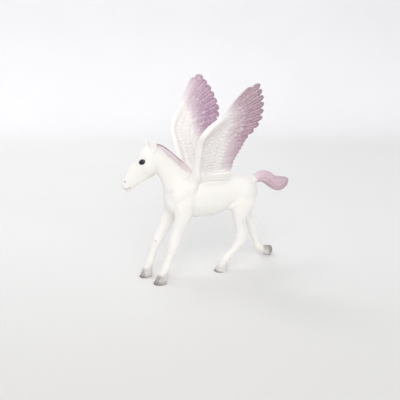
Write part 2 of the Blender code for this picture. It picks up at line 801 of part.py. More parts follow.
def root_skin():
    """The thick foot of the wing that meets the back."""
    rings = []
    for height, reach, front, thick in WING_ROOT:
        middle = np.array(((reach + front) / 2, height, 0.0))
        rings.append(ring(
            middle, np.array(((reach - front) / 2, 0.0, 0.0)), np.array((0.0, 0.0, thick)),
            np.array((0.0, 0.0, -thick)), 24, 3.2))
    return loft(rings)


def wing_place(point, side):
    """From the flat wing to the body: leaning out, and curving at its foot."""
    x, height, out = point
    foot = max(0.0, 9.0 - height)
    out = out - 0.0175 * foot ** 2
    y = 8.0 + height * math.sin(WING_LEAN) + out * math.cos(WING_LEAN)
    z = 58.0 + height * math.cos(WING_LEAN) - out * math.sin(WING_LEAN)
    return np.array((x, side * y, z)) * UNIT


def wing_master(name, side):
    placed = []
    for points, faces in wing_blade_pieces():
        placed.append(([wing_place(point, side) for point in points], faces))
    rough = solid(name, placed, CUTTERS)
    smooth = reshape(rough, name, CUTTERS, [
        ("REMESH", {"mode": "VOXEL", "voxel_size": WING_CELL, "adaptivity": 0.0}),
        ("SMOOTH", {"factor": 0.5, "iterations": 1}),
    ])
    return decimate_to(smooth, name, PARTS, WING_FACES)


def wing_tab(name, side, grow):
    """The flat tab under a wing, or the pocket for it in the back."""
    foot = Vector(wing_place((4.0, -3.4, 0.0), side))
    above = Vector(wing_place((4.0, -1.4, 0.0), side))
    upward = (above - foot).normalized()
    forward = Vector((1.0, 0.0, 0.0))
    face = upward.cross(forward)
    bottom = WING_TAB_DEPTH + grow
    centre = foot + upward * (WING_TAB_ROOT - bottom) / 2
    return box(
        name, centre,
        (WING_TAB_LENGTH / 2 + grow, WING_TAB_THICKNESS / 2 + grow,
         (WING_TAB_ROOT + bottom) / 2),
        (forward, face, upward))


def build():
    master = body_master()
    seat = swollen(master, "seat", SEAM_GAP)
    parts = cut_body(master)
    bpy.data.objects.remove(master, do_unlink=True)
    torso = parts["torso"]
    for name, (middle, direction, _) in SEAMS.items():
        radius, length = PEGS[name]
        add_peg(parts[name], torso, PEG_SPOTS[name], direction, radius, length)
    for name, side in (("wing_left", -1), ("wing_right", 1)):
        wing = wing_master(name, side)
        cut(wing, seat)
        cut(wing, wing_tab("tab_" + name, side, 0.0), "UNION")
        cut(torso, wing_tab("pocket_" + name, side, SEAM_GAP))
        parts[name] = wing
    plume = solid("tail", [ridge_skin(TAIL)], CUTTERS)
    plume = reshape(plume, "tail", CUTTERS, [
        ("REMESH", {"mode": "VOXEL", "voxel_size": TAIL_CELL, "adaptivity": 0.0}),
        ("SMOOTH", {"factor": 0.5, "iterations": 2}),
    ])
    tail = decimate_to(plume, "tail", PARTS, TAIL_FACES)
    cut(tail, seat)
    add_peg(tail, torso, *TAIL_PEG, TAIL_PEG_RADIUS, TAIL_PEG_LENGTH)
    parts["tail"] = tail
    return parts


COLOURS = {
    "wing_left": (0.72, 0.55, 0.64),
    "wing_right": (0.72, 0.55, 0.64),
    "tail": (0.62, 0.42, 0.52),
}


def finish(parts):
    """Keep the one large body of each part, colour it and centre the figure."""
    for name, part in parts.items():
        apply_all(part)
        pieces = separate(part)
        largest = max(pieces, key=lambda piece: len(piece.data.vertices))
        part.data = largest.data
        part.data.name = name
        for piece in pieces:
            bpy.data.objects.remove(piece, do_unlink=True)
        part.data.materials.clear()
        part.data.materials.append(plastic(name, COLOURS.get(name, (0.92, 0.91, 0.89)), 0.45))
        part.data.shade_smooth()
        part.data.set_sharp_from_angle(angle=math.radians(50))
    corners = np.array([v.co for part in parts.values() for v in part.data.vertices])
    low = corners.min(axis=0)
    high = corners.max(axis=0)
    shift = Vector((-(low[0] + high[0]) / 2, -(low[1] + high[1]) / 2, -low[2]))
    for item in list(PARTS.objects) + list(CUTTERS.objects):
        item.data.transform(Matrix.Translation(shift))
    print("shift", [round(value * 1000, 4) for value in shift], "size", (high - low) * 1000)


finish(build())
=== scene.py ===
"""Looks of the small winged foal: a finer sculpt, painted plastic and a studio.

All shapes are made in millimetres in the frame of the sculpt, where the foal
faces -X, its left side is -Y and its middle plane is Y = 0.  place() takes
them to the part's frame in metres.
"""
import math

import bmesh
import bpy
import numpy as np
from mathutils import Matrix, Vector


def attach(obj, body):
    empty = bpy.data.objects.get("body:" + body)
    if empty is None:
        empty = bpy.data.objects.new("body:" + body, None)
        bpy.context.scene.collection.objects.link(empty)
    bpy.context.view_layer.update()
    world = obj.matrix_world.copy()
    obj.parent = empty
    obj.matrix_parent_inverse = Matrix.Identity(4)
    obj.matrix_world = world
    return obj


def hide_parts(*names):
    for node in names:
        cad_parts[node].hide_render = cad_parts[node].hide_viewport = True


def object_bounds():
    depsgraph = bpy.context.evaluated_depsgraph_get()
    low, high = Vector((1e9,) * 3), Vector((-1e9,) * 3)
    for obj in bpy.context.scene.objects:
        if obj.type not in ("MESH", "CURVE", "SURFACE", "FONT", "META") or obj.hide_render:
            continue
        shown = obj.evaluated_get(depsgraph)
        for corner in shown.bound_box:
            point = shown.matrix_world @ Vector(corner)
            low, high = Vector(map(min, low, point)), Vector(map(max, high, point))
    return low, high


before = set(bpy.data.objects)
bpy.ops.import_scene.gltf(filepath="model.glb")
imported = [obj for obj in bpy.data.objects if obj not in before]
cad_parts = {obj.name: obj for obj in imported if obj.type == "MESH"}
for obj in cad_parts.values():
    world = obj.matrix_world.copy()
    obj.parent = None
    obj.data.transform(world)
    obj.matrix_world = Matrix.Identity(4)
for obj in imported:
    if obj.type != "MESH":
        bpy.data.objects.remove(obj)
CAD_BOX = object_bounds()

SHIFT = np.array((-7.1141, 0.0015, -1.0))
MM = 0.001
X, Y, Z = np.eye(3)

CAMERA_AZIMUTH = math.radians(-24.49)
CAMERA_ELEVATION = math.radians(17.16)
CAMERA_DISTANCE = 0.2981
CAMERA_LENS = 48
CAMERA_TARGET = (0, 0, 43.95)

BODY_CELL = 0.22
WING_CELL = 0.15
TAIL_CELL = 0.2
WING_LEAN = math.radians(26.6)
WING_HEIGHT = 58
WING_FOOT_Y = 8
WING_FOOT_Z = 58
# Below this height up the wing it curves in to the back, by this much.
WING_CURVE_TOP = 9
WING_CURVE = 0.0175
FEATHER_TILT = math.radians(12)
# The head turns from this x on.
TURN_X = -26
HEAD_TURN = math.radians(12)
SOLE = 1
# A hoof whose middle line falls more steeply than this stands flat.
FLAT_HOOF = -0.8
# Depth of the fine groove at a seam, and how far from it the skin is cut finely.
GROOVE_DEPTH = 0.07
SEAM_REACH = 1.2
# Stored where a point isn't on the mane, on a hoof or on a feather.
AWAY = -9.0
NO_FEATHER = 6

# Trunk: x, z, half width, height above and below.
TRUNK = [
    (35.4, 46.8, 1.6, 1.8, 1.8), (34.8, 46.7, 3.8, 3.9, 4.2), (33, 46.8, 5.8, 5.7, 6),
    (30, 46.9, 7.4, 7.7, 7), (26.4, 47, 8.2, 9, 7.5), (22, 46.9, 8.4, 9.7, 7.7),
    (17.5, 46.4, 8.2, 10.3, 8.2), (12, 46, 8.7, 10.9, 10.4), (6, 46, 9.1, 11.6, 11.6),
    (0, 46.2, 9.1, 12.7, 11.4), (-6, 46.4, 8.7, 13.8, 11.1), (-11, 46.4, 8.2, 12.8, 10.5),
    (-15.5, 46.6, 7.4, 10.8, 9.3), (-18.6, 46.9, 6.1, 8.3, 7.4), (-20.4, 47.2, 4.3, 5.4, 5),
    (-21.3, 47.3, 1.9, 2.3, 2.2),
]
# Neck and head: x and z of the upper and of the lower outline, half width, and
# where the middle lies between them.
NECK = [
    (6, 57, -15, 39, 6, 0.55), (-1, 59.6, -19.8, 44.5, 6.9, 0.55),
    (-4.6, 61.6, -21.1, 49.6, 6.3, 0.55), (-8.6, 64.2, -21.7, 53.4, 5.4, 0.55),
    (-13, 66.9, -22.6, 57, 4.6, 0.52), (-17.2, 70.1, -24.2, 60.4, 4.1, 0.5),
    (-21.2, 73.6, -26.4, 63.4, 3.9, 0.5), (-25.4, 76, -29, 66.2, 3.4, 0.5),
]
HEAD = [
    (-24.2, 74.4, -23.6, 69.4, 1.6, 0.5), (-25.6, 76, -23.6, 66.4, 2.8, 0.5),
    (-28.2, 76.8, -24.4, 63.6, 3.5, 0.5), (-31.4, 76.2, -25.8, 61.4, 3.8, 0.45),
    (-33.7, 74.2, -28.2, 60.2, 3.9, 0.42), (-35, 71.8, -31, 58.7, 3.6, 0.4),
    (-36.4, 69.3, -33.6, 57.2, 3.1, 0.45), (-38.4, 66.8, -35.8, 56, 2.7, 0.5),
    (-40.2, 64.5, -37.6, 54.6, 2.5, 0.5), (-41.6, 62.2, -39.2, 53.4, 2.6, 0.55),
    (-42.6, 60.2, -41, 53.1, 2.6, 0.55), (-43.3, 58.6, -42.6, 54.3, 1.9, 0.5),
    (-43.7, 57.6, -43.5, 55.6, 0.9, 0.5),
]
# Legs: x, y, z, half length along the stride, half width.
LEFT_FORELEG = [
    (-10.5, -5.2, 50.5, 4, 3), (-11.4, -5.6, 46, 5.8, 3.6), (-12.2, -5.9, 41.5, 5.7, 3.7),
    (-13.1, -6.1, 37.2, 4.7, 3.4), (-14.7, -6.2, 33.2, 3.8, 3), (-16.2, -6.2, 29, 3.35, 2.7),
    (-17.6, -6.2, 25, 3.4, 2.9), (-18.7, -6.2, 21.8, 3.1, 2.8), (-20, -6.1, 18.2, 2.35, 2.2),
    (-21.4, -6.1, 14.6, 2, 1.9), (-22.5, -6, 11.8, 2.1, 2), (-23.3, -6, 9.4, 2.35, 2.25),
    (-24.3, -6, 7.6, 2.1, 2.05), (-25.2, -6, 6, 2.3, 2.3), (-25.8, -6, 4.6, 1.8, 1.8),
]
RIGHT_FORELEG = [
    (-11.5, 5.2, 50.5, 4, 3), (-12.4, 5.6, 46, 5.8, 3.6), (-13.4, 5.9, 41.5, 5.6, 3.7),
    (-14.9, 6.1, 37, 4.7, 3.4), (-17.1, 6.2, 33, 3.8, 3), (-19.4, 6.2, 29, 3.2, 2.7),
    (-21.5, 6.2, 25.3, 2.9, 2.6), (-23.3, 6.2, 22, 2.9, 2.8), (-24.8, 6.2, 18.8, 2.35, 2.3),
    (-26.1, 6.2, 15.2, 2, 1.9), (-27.2, 6.2, 12, 2.15, 2), (-28.1, 6.2, 9.2, 2.3, 2.2),
    (-29, 6.2, 7.4, 2.1, 2.05), (-29.8, 6.2, 5.8, 2.3, 2.3), (-30.2, 6.2, 4.6, 1.8, 1.8),
]
LEFT_HIND_LEG = [
    (25.5, -4.6, 49.5, 5, 3.2), (25.2, -4.8, 45, 7.4, 3.9), (24.4, -5, 40.5, 7.7, 4.1),
    (23.2, -5.1, 36.2, 6, 3.8), (22.6, -5.1, 32.2, 4.3, 3.2), (22.8, -5.1, 28.2, 3.2, 2.6),
    (23.5, -5, 24.8, 3.2, 2.5), (24, -5, 21.6, 3.7, 2.6), (23.4, -5, 18, 3.5, 2.6),
    (21.2, -4.9, 14.8, 2.6, 2.2), (18.6, -4.8, 12, 2.1, 1.9), (16.2, -4.7, 9.6, 2.2, 2),
    (14.4, -4.6, 7.7, 2.45, 2.25), (13.1, -4.5, 6.1, 2.25, 2.1), (12.2, -4.5, 4.6, 2.3, 2.3),
    (11.8, -4.5, 3.6, 1.8, 1.8),
]
RIGHT_HIND_LEG = [
    (26, 4.6, 49.5, 5, 3.2), (27, 4.8, 45, 7.4, 3.9), (27.5, 4.9, 40.5, 7, 4.1),
    (29.2, 4.9, 36, 5.3, 3.8), (31.7, 4.9, 31.6, 4, 3.2), (33.9, 4.8, 27.4, 2.8, 2.5),
    (35.6, 4.8, 23.6, 2.6, 2.4), (37, 4.7, 20.2, 2.9, 2.5), (38.1, 4.7, 16.8, 2.5, 2.2),
    (39.3, 4.6, 13.2, 1.95, 1.9), (40.4, 4.6, 10.2, 2.15, 2), (41.6, 4.6, 7.8, 2.3, 2.2),
    (43.2, 4.6, 6.2, 2.1, 2.05), (44.9, 4.6, 5.3, 2.2, 2.2), (46.2, 4.6, 4.9, 1.7, 1.7),
]
# Coronet middle, sole middle, coronet radius, sole half length, and how much of
# the grey is brushed away.
HOOVES = [
    ((-25.2, -6, 6.4), (-26.9, -6, 0.2), 2.65, 3.8, 0.12),
    ((-29.8, 6.2, 6.2), (-31.2, 6.2, 0.2), 2.65, 3.6, 0.30),
    ((12.3, -4.5, 5), (11.1, -4.5, 0.2), 2.85, 4, 1),
    ((44.2, 4.6, 5.3), (50, 4.6, 3.6), 2.4, 3.15, 0.12),
]
# Swellings: middle, half sizes, pitch in degrees.
MUSCLES = [
    ((-13, -4.2, 48.5), (6.2, 4.6, 9), -22), ((-13, 4.2, 48.5), (6.2, 4.6, 9), -22),
    ((25.6, -4.4, 46.6), (7.6, 4.6, 7.4), 20), ((25.6, 4.4, 46.6), (7.6, 4.6, 7.4), -10),
    ((-29.4, -1.2, 66.8), (4.8, 2.6, 5.2), 0), ((-29.4, 2.4, 66.8), (4.8, 2.6, 5.2), 0),
    ((-2, 0, 55), (11, 5.4, 4.4), 4), ((3.6, -4.3, 53.6), (12, 3.2, 3.3), 2),
    ((3.6, 4.3, 53.6), (12, 3.2, 3.3), 2), ((-11.4, -4.4, 52), (5.4, 4.2, 7.4), -14),
    ((-11.4, 4.4, 52), (5.4, 4.2, 7.4), -14), ((19, -3.7, 40.4), (6.6, 4.2, 3.5), 0),
    ((19, 3.7, 40.4), (6.6, 4.2, 3.5), 0),
]
# Left side of the swelling that carries the arm of a wing, and of the fillet
# under its blade: x, y, z, half size along the stride, half width.
SHOULDER_STRAP = [
    (-9, -5, 47, 4, 3), (-7.9, -5.5, 52, 3.8, 3.2), (-7.1, -6, 55.4, 3.5, 3.3),
    (-6.8, -6.6, 57.6, 3.2, 3.2), (-6.6, -7.3, 58.8, 2.9, 2.9), (-6.4, -8, 59.8, 2.3, 2.3),
]
BLADE_FILLET = [
    (-3.5, -5.6, 54.4, 1.4, 1.4), (1, -6.1, 54.9, 1.5, 1.45), (6, -6, 55, 1.5, 1.4),
    (11, -5.5, 54.8, 1.4, 1.35), (14.6, -4.9, 54.2, 1.15, 1.15), (17, -4.5, 53.4, 0.8, 0.8),
]
# Ears: foot, tip, half width, turn in degrees.
EARS = [
    ((-27.9, -1.9, 74.2), (-26.7, -2.5, 80.6), 1.65, -60),
    ((-28.2, 2.6, 74.8), (-29.8, 3.6, 80.4), 1.55, 60),
]
# Share of an ear's length, share of its half width, half thickness.
EAR_SHAPE = [
    (-0.25, 0.7, 1), (0, 0.85, 0.95), (0.25, 1, 0.85), (0.5, 0.95, 0.72), (0.72, 0.7, 0.6),
    (0.88, 0.4, 0.45), (1, 0.12, 0.15),
]
# Mane and tail: x, z, half height, half thickness.
MANE = [
    (-27, 76.4, 0.7, 0.5), (-25.2, 76.4, 1.5, 1), (-22.4, 74.9, 1.8, 1.3), (-18.8, 72, 1.9, 1.4),
    (-15, 68.6, 1.9, 1.4), (-11.2, 65.2, 1.9, 1.4), (-7.8, 62.4, 1.7, 1.3), (-5.4, 60.8, 1.1, 0.9),
]
TAIL = [
    (32.6, 51, 1.7, 1.5), (34.6, 52.2, 2.3, 1.9), (36.6, 53.2, 2.9, 2.1), (38.6, 53.7, 3.3, 2.3),
    (41, 53.3, 3.6, 2.5), (44, 51.7, 3.7, 2.7), (47.6, 49.2, 3.7, 2.8), (51, 48, 4.2, 2.6),
    (54.2, 48.6, 3.6, 2.1), (56.6, 49.6, 2, 1.4), (57.7, 50.2, 0.6, 0.5),
]
# Arm of the wing: x, height up the wing, radius.
WING_ARM = [
    (-4.6, -7, 2), (-5.6, -3, 2.4), (-6.2, 0.4, 2.5), (-6.6, 3.6, 2.4), (-7, 8, 2.2),
    (-7.6, 14, 2), (-8.1, 20, 2), (-8.1, 25, 2), (-6.8, 29.4, 1.9), (-4.4, 33.4, 1.7),
    (-1, 37.2, 1.4), (2.3, 41, 1.1), (5.2, 45.2, 0.9), (7.6, 49.4, 0.8), (9.6, 53, 0.6),
]
# Curves along which the feathers of each row end: x, height up the wing.
PRIMARY_TIPS = [
    (12.2, 56.2), (16.4, 57.9), (18.7, 53.6), (20.6, 50.2), (21.9, 46.3), (22.8, 42.4),
    (23.4, 38.1), (22.6, 33.8), (20.6, 29.9), (18.3, 26.6),
]
SECONDARY_TIPS = [
    (17.3, 24), (16.6, 20.9), (15.9, 18.1), (15.1, 15.4), (14.3, 12.7), (13.9, 10.2), (14, 7.6),
    (14.2, 5), (14.2, 2.4),
]
GREAT_COVERT_TIPS = [
    (9.6, 45.2), (12.2, 42), (13.5, 38.6), (13.8, 35), (13, 31.4), (10.8, 28.2), (8.4, 25),
    (7.2, 21.6), (6.8, 18.2), (6.9, 14.8), (7, 11.6), (7.2, 8.4), (7.4, 5.2), (7.6, 2.2),
]
SMALL_COVERT_TIPS = [
    (5.4, 42.6), (6.4, 39.2), (6.4, 35.6), (5.4, 32.2), (3.8, 29), (2.4, 25.8), (1.6, 22.4),
    (1.4, 19), (1.6, 15.6), (2, 12.2), (2.3, 8.8), (2.6, 5.4), (2.8, 2),
]
LESSER_COVERT_TIPS = [
    (1.6, 34.4), (0, 31.2), (-1.9, 28.2), (-2.9, 25.2), (-2.6, 22), (-2.2, 19), (-1.8, 16),
    (-1.4, 13), (-1.2, 10), (-1.1, 7), (-1.1, 4.4),
]
# Tips, feathers, first foot, last foot, half width, half thickness outside and
# inside, bend.  The coverts spring from the middle line of the arm.
FEATHER_ROWS = [
    (PRIMARY_TIPS, 10, (1, 38.9), (-7.6, 22), 2.6, 0.50, 0.50, 0.5),
    (SECONDARY_TIPS, 10, (-7.6, 20), (-6.4, 0.6), 1.95, 0.50, 0.50, 0.5),
    (GREAT_COVERT_TIPS, 21, 37, 0.8, 1.50, 0.95, 0.80, 0.3),
    (SMALL_COVERT_TIPS, 19, 35, 1, 1.50, 1.35, 1.10, 0.3),
    (LESSER_COVERT_TIPS, 15, 32.6, 4, 1.25, 1.62, 1.30, 0.2),
]
# Foot of the wing: height up the wing, rear x, front x, half thickness.
WING_ROOT = [
    (-9, 13.4, -7, 1.9), (-4, 14.6, -7.4, 2), (-1.6, 14.8, -7.4, 1.9), (0.8, 14.5, -7.3, 1.75),
    (2.8, 13.9, -7.2, 1.55), (4.2, 13.2, -7.1, 1.2), (5.2, 12.4, -7, 0.6),
]
# Crease behind the arm of the wing: x, height up the wing.
ARM_CREASE = [
    (8.6, 49.6), (6.8, 45.9), (3.7, 38.5), (-0.6, 33.2), (-3.8, 30.1), (-6.2, 27.5), (-7.1, 24.2),
    (-4.9, 16.3), (-4.2, 10.3), (-4.9, 1),
]
# Arcs where the wing meets the back, with their depths.
FOOT_ARCS = [
    ([(0, 5), (4.9, 4.3), (8.6, 4), (12.5, 4.1), (14.6, 4.4)], -0.30),
    ([(-1, 2.6), (2.3, 1.6), (5.8, 0.6), (9.8, -0.2), (15.4, -0.2)], -0.28),
    ([(1, -0.6), (5, -1.8), (9.8, -2.5), (15.4, -2.2)], -0.20),
]
# Where the paint of a wing begins and is full: height up the wing, x, x.
OUTER_PAINT = [
    (0, 10, 30), (4, 8.5, 26), (8, 6, 20), (12, 4.4, 17.5), (18, 3.9, 15.8), (28, 3.8, 15),
    (36, 3.8, 15), (42, 2.4, 14.5), (46, 0.8, 13.2), (50, -2.4, 10.8), (54, -6.5, 7.5),
    (60, -15, -1),
]
INNER_PAINT = [
    (0, 5, 14), (10, 4, 13), (24, 3.7, 12.9), (30, 3.4, 13), (34, 2.3, 12.4), (42, 0.8, 13.6),
    (46, 0.6, 14.6), (50, 1.9, 17.3), (60, 2, 19),
]
# Lower edge and top line of the mane, in the middle plane: x, z.
MANE_EDGE = [
    (-27.4, 77.4), (-25.6, 76.5), (-24.2, 75.5), (-22.1, 73.6), (-19.6, 71), (-16, 67.5),
    (-13.3, 64.6), (-11.3, 62.7), (-8.6, 61.2), (-5, 60.2), (-2, 60.6),
]
MANE_TOP = [
    (-26, 77.7), (-24.8, 77.8), (-22, 76.6), (-19.3, 74.7), (-15.1, 70.8), (-11.5, 67.3),
    (-9.1, 65), (-6.6, 62.8),
]

EYE = (-33.1, 3.8, 69.3)
EYE_HALF = (1.78, 1.32)
EYE_SLOPE = math.radians(30)
NOSTRIL = (-42, 1.75, 58.7)
KNEE_PIT = (-25.6, 4.4, 21.9)
# Grooves and ridges: spots, width, height.  On the head the spots are along it,
# out from its middle plane and up.
FACE_LINES = [
    (((-37, 3, 65.5), (-39.4, 2.5, 62.2), (-41, 2.2, 60.6)), 0.7, 0.16),
    (((-31, 3.9, 72.6), (-33.6, 3.6, 72.7), (-35.2, 2.9, 71)), 0.8, 0.22),
    (((-24.9, 3.4, 67), (-25, 3.2, 65.2), (-26, 2.8, 62.8)), 0.9, -0.16),
    (((-27.5, 3.6, 62.6), (-30.6, 2.8, 60.8), (-34.5, 2, 58.4)), 0.7, 0.16),
    (((-29.5, 3.3, 63.6), (-33, 2.9, 62), (-37, 2.4, 59.6)), 0.9, -0.12),
    (((-25.6, 2.9, 64.4), (-27.4, 2.5, 61.8), (-30.6, 1.8, 59.6), (-34.4, 1.2, 57.6)), 0.5, -0.16),
]
MOUTH = (
    (-43.7, 0, 55.9), (-43.3, 1, 55.6), (-42.2, 1.9, 55), (-40.8, 2.2, 55), (-39.4, 2.3, 55.6))
# Round the nostril, the mouth and the chin: spots, width, height, soft ends.
MUZZLE_LINES = [
    (((-42.3, 1.5, 60), (-41.2, 2.1, 59.9), (-40.8, 2.3, 58.7), (-41.3, 2.2, 57.6)), 0.38, 0.16,
     1),
    (MOUTH, 0.30, -0.40, 1),
    (((-42.6, 1.3, 53.9), (-41.4, 1.8, 53.6), (-40.2, 1.8, 54)), 0.5, 0.14, 2),
]
# Shoulders, breast, flanks, neck, croup, back and ribs, on both sides.
BODY_LINES = [
    (((-4.6, 59.4), (-4.5, 55), (-5.3, 51.4), (-5.8, 47.1), (-5.8, 43.1), (-5.2, 39.1),
      (-5.6, 36)), 1.35, -0.32),
    (((-8.6, 56), (-9.2, 50), (-9.8, 43)), 2.6, 0.24),
    (((-22.2, 1.3, 51.4), (-21.4, 3.4, 49.4), (-19.9, 5.4, 46.6), (-18.2, 6.9, 44),
      (-17.1, 7.9, 41.3), (-16.4, 8.5, 38.6)), 0.65, -0.36),
    (((17.5, 37.4), (16.4, 42), (15.8, 45.6), (16.4, 49)), 1.2, -0.13),
    (((20.5, 38), (19.6, 42), (19.6, 46)), 1.6, 0.18),
    (((-20.4, 60), (-17.4, 55), (-16.2, 50.6)), 1.6, -0.12),
    (((-8, 60.6), (-11.8, 57.4), (-14, 53.4)), 1.2, -0.10),
    (((27, 55.2), (29.6, 51.2), (30.2, 46), (28.6, 40.6)), 1.1, -0.13),
    (((3, 8.2, 57.6), (6.3, 7.2, 57.1), (10.6, 5.9, 56.1), (15.4, 3.9, 55.7)), 0.45, -0.10),
    (((3.4, 8.8, 49), (5, 8.6, 43), (6.4, 7, 38)), 0.9, -0.08),
    (((7.6, 8.8, 49.6), (9.2, 8.4, 44), (10.4, 7, 39.4)), 0.9, -0.08),
]
# Down the breast, between the thighs and along the belly.
MIDDLE_LINES = [
    (((-22.9, 0, 50.6), (-21.6, 0, 45), (-18.6, 0, 38.8)), 0.8, -0.34),
    (((34.6, 0, 49), (35.2, 0, 45.6), (33.4, 0, 40.2)), 0.8, -0.55),
    (((-16, 0, 36.6), (-4, 0, 34.9), (8, 0, 34.6)), 0.9, -0.12),
]
# Forearm, tendon and knee, then the tendon above the hock, cannon and hock.
LEFT_LEG_LINES = [
    (((-12, 36), (-14, 30.6), (-15.8, 26.4)), 0.7, -0.16),
    (((-17.4, 18.6), (-19.4, 14), (-20.6, 11.4)), 0.42, -0.17),
    (((-20.6, 24), (-18.6, 23.2), (-16.4, 23.6)), 0.4, -0.10),
    (((-21, 20.6), (-19.4, 20), (-17.2, 20.4)), 0.4, -0.10),
    (((23.3, 32), (24.2, 28.4), (25, 25.2), (25.8, 22), (25.4, 17.8)), 0.50, -0.44),
    (((24.6, 17.2), (21.6, 13.8), (18.4, 11)), 0.42, -0.15),
    (((21.2, 22), (22.4, 19.6), (21.4, 17.4)), 0.5, -0.12),
]
RIGHT_LEG_LINES = [
    (((-15.2, 36), (-18, 30), (-20, 26.4)), 0.7, -0.16),
    (((-23, 18.6), (-24.8, 14), (-25.8, 11.4)), 0.42, -0.17),
    (((34.4, 31.8), (36.3, 27.8), (38, 24), (39.2, 20.8)), 0.50, -0.34),
    (((39.2, 17), (40.4, 13), (41.3, 10.6)), 0.42, -0.15),
]
# Seams of the head and the legs: middle, direction out of the torso, half sizes.
SEAMS = [
    ((-14, 0, 56.6), (-0.62, 0, 0.78), (14, 11)),
    ((-14, -6.6, 34.8), (-0.40, 0, -0.92), (7, 6)),
    ((-16.2, 6.6, 34.6), (-0.50, 0, -0.87), (7, 6)),
    ((22.9, -6.6, 33.6), (-0.10, 0, -0.995), (9, 6.4)),
    ((30.6, 6.6, 33.4), (0.42, 0, -0.907), (9, 6.4)),
]
PIECE_MIDDLES = {
    "torso": (7, 0, 47), "head_and_neck": (-28, 1, 67),
    "foreleg_left": (-20, -6, 18), "foreleg_right": (-24, 6, 18),
    "hind_leg_left": (18, -5, 17), "hind_leg_right": (41, 5, 17),
}

# The studio in metres: away from the camera, and to its right.
AHEAD = np.array((0.4146, 0.9100, 0))
RIGHTWARD = np.array((0.9100, -0.4146, 0))
SWEEP_SIDE = 8
SWEEP_BEND = 0.44
SWEEP_RADIUS = 0.16
SWEEP_TOP = 3
SKY_COLOUR = (0.985, 0.99, 1, 1)
SKY_STRENGTH = 0.692
WHITE = (1, 1, 1)
WARM = (1, 0.99, 0.98)
FIGURE = (0, 0, 0.05)
# Place and aim in the studio, size, power, colour.
LAMPS = {
    "top": ((-0.88, -0.12, 0.92), FIGURE, 0.7, 3.17, WARM),
    "right": ((-0.7, 0.6, 0.6), FIGURE, 0.7, 0.80, WHITE),
    "front": ((-0.9, 0.1, 0.35), FIGURE, 0.5, 1.55, WARM),
    "wall_top": ((0.3, -0.4, 0.9), (0.62, -0.10, 0.30), 0.4, 1.50, WHITE),
    "wall_left": ((-0.1, -0.7, 0.9), (0.6, -0.25, 0.15), 0.6, 0.10, WHITE),
    "floor_left": ((0.30, -0.75, 0.75), (0.45, -0.2, 0.05), 0.6, 0.32, WHITE),
}


def place(points):
    """From the sculpt's frame in millimetres to the part's frame in metres."""
    return (np.asarray(points, dtype=float) + SHIFT) * MM


def unit(vector):
    return vector / np.linalg.norm(vector)


def add_object(name, data):
    result = bpy.data.objects.new(name, data)
    bpy.context.scene.collection.objects.link(result)
    return result


def point_at(thing, direction):
    """Turn a camera or a lamp to look along a direction."""
    thing.rotation_mode = "QUATERNION"
    thing.rotation_quaternion = direction.to_track_quat("-Z", "Y")


def make_camera():
    level = math.cos(CAMERA_ELEVATION)
    back = Vector((
        math.sin(CAMERA_AZIMUTH) * level, -math.cos(CAMERA_AZIMUTH) * level,
        math.sin(CAMERA_ELEVATION)))
    camera = add_object("camera", bpy.data.cameras.new("camera"))
    camera.data.lens = CAMERA_LENS
    camera.data.sensor_width = 36
    camera.data.clip_start = 0.01
    camera.data.clip_end = 20
    camera.location = Vector(place(CAMERA_TARGET)) + back * CAMERA_DISTANCE
    point_at(camera, -back)
    bpy.context.scene.camera = camera


def smooth_rows(table, steps):
    """Catmull-Rom curve through the rows of a table."""
    rows = np.array(table, dtype=float)
    padded = np.vstack([2 * rows[0] - rows[1], rows, 2 * rows[-1] - rows[-2]])
    curve = []
    for before, start, end, after in zip(padded, rows, rows[1:], padded[3:]):
        for step in range(steps):
            t = step / steps
            curve.append(0.5 * (
                2 * start + (end - before) * t
                + (2 * before - 5 * start + 4 * end - after) * t ** 2
                + (3 * start - before - 3 * end + after) * t ** 3))
    return np.array([*curve, rows[-1]])


def ramp(value, low, high):
    """Smooth step from 0 at low to 1 at high."""
    t = np.clip((value - low) / (high - low), 0, 1)
    return t * t * (3 - 2 * t)


def bell(value, middle, width):
    """1 at the middle, falling off softly on both sides."""
    return np.exp(-((value - middle) / width) ** 2)


def ring(middle, sideways, up, sides, power, down=None):
    """One closed section, squarer as the power grows."""
    angle = 2 * math.pi * np.arange(sides) / sides
    across, rise = [
        (np.sign(wave) * np.abs(wave) ** (2 / power))[:, None]
        for wave in (np.cos(angle), np.sin(angle))]
    down = -up if down is None else down
    return middle + across * sideways + np.maximum(rise, 0) * up + np.maximum(-rise, 0) * down


def loft(rings):
    """Vertices and faces of a closed skin over the rings."""
    sides = len(rings[0])
    last = (len(rings) - 1) * sides
    faces = []
    for first in range(0, last, sides):
        for side in range(sides):
            a = first + side
            b = first + (side + 1) % sides
            faces.append((a, b, b + sides, a + sides))
    faces += [tuple(reversed(range(sides))), tuple(range(last, last + sides))]
    return np.vstack(rings), faces


def fused(name, pieces, cell, rounds):
    """The mesh of one smooth skin over closed skins that overlap."""
    points = []
    faces = []
    for piece_points, piece_faces in pieces:
        start = len(points)
        points += [tuple(point) for point in piece_points]
        faces += [tuple(start + index for index in face) for face in piece_faces]
    mesh = bpy.data.meshes.new(name)
    mesh.from_pydata(points, [], faces)
    skin = bmesh.new()
    skin.from_mesh(mesh)
    bmesh.ops.recalc_face_normals(skin, faces=skin.faces)
    skin.to_mesh(mesh)
    skin.free()
    rough = add_object(name, mesh)
    remesh = rough.modifiers.new("remesh", "REMESH")
    remesh.mode = "VOXEL"
    remesh.voxel_size = cell
    remesh.adaptivity = 0
    smooth = rough.modifiers.new("smooth", "SMOOTH")
    smooth.factor = 0.5
    smooth.iterations = rounds
    bpy.context.view_layer.update()
    graph = bpy.context.evaluated_depsgraph_get()
    mesh = bpy.data.meshes.new_from_object(rough.evaluated_get(graph), depsgraph=graph)
    mesh.name = name
    bpy.data.objects.remove(rough, do_unlink=True)
    return mesh


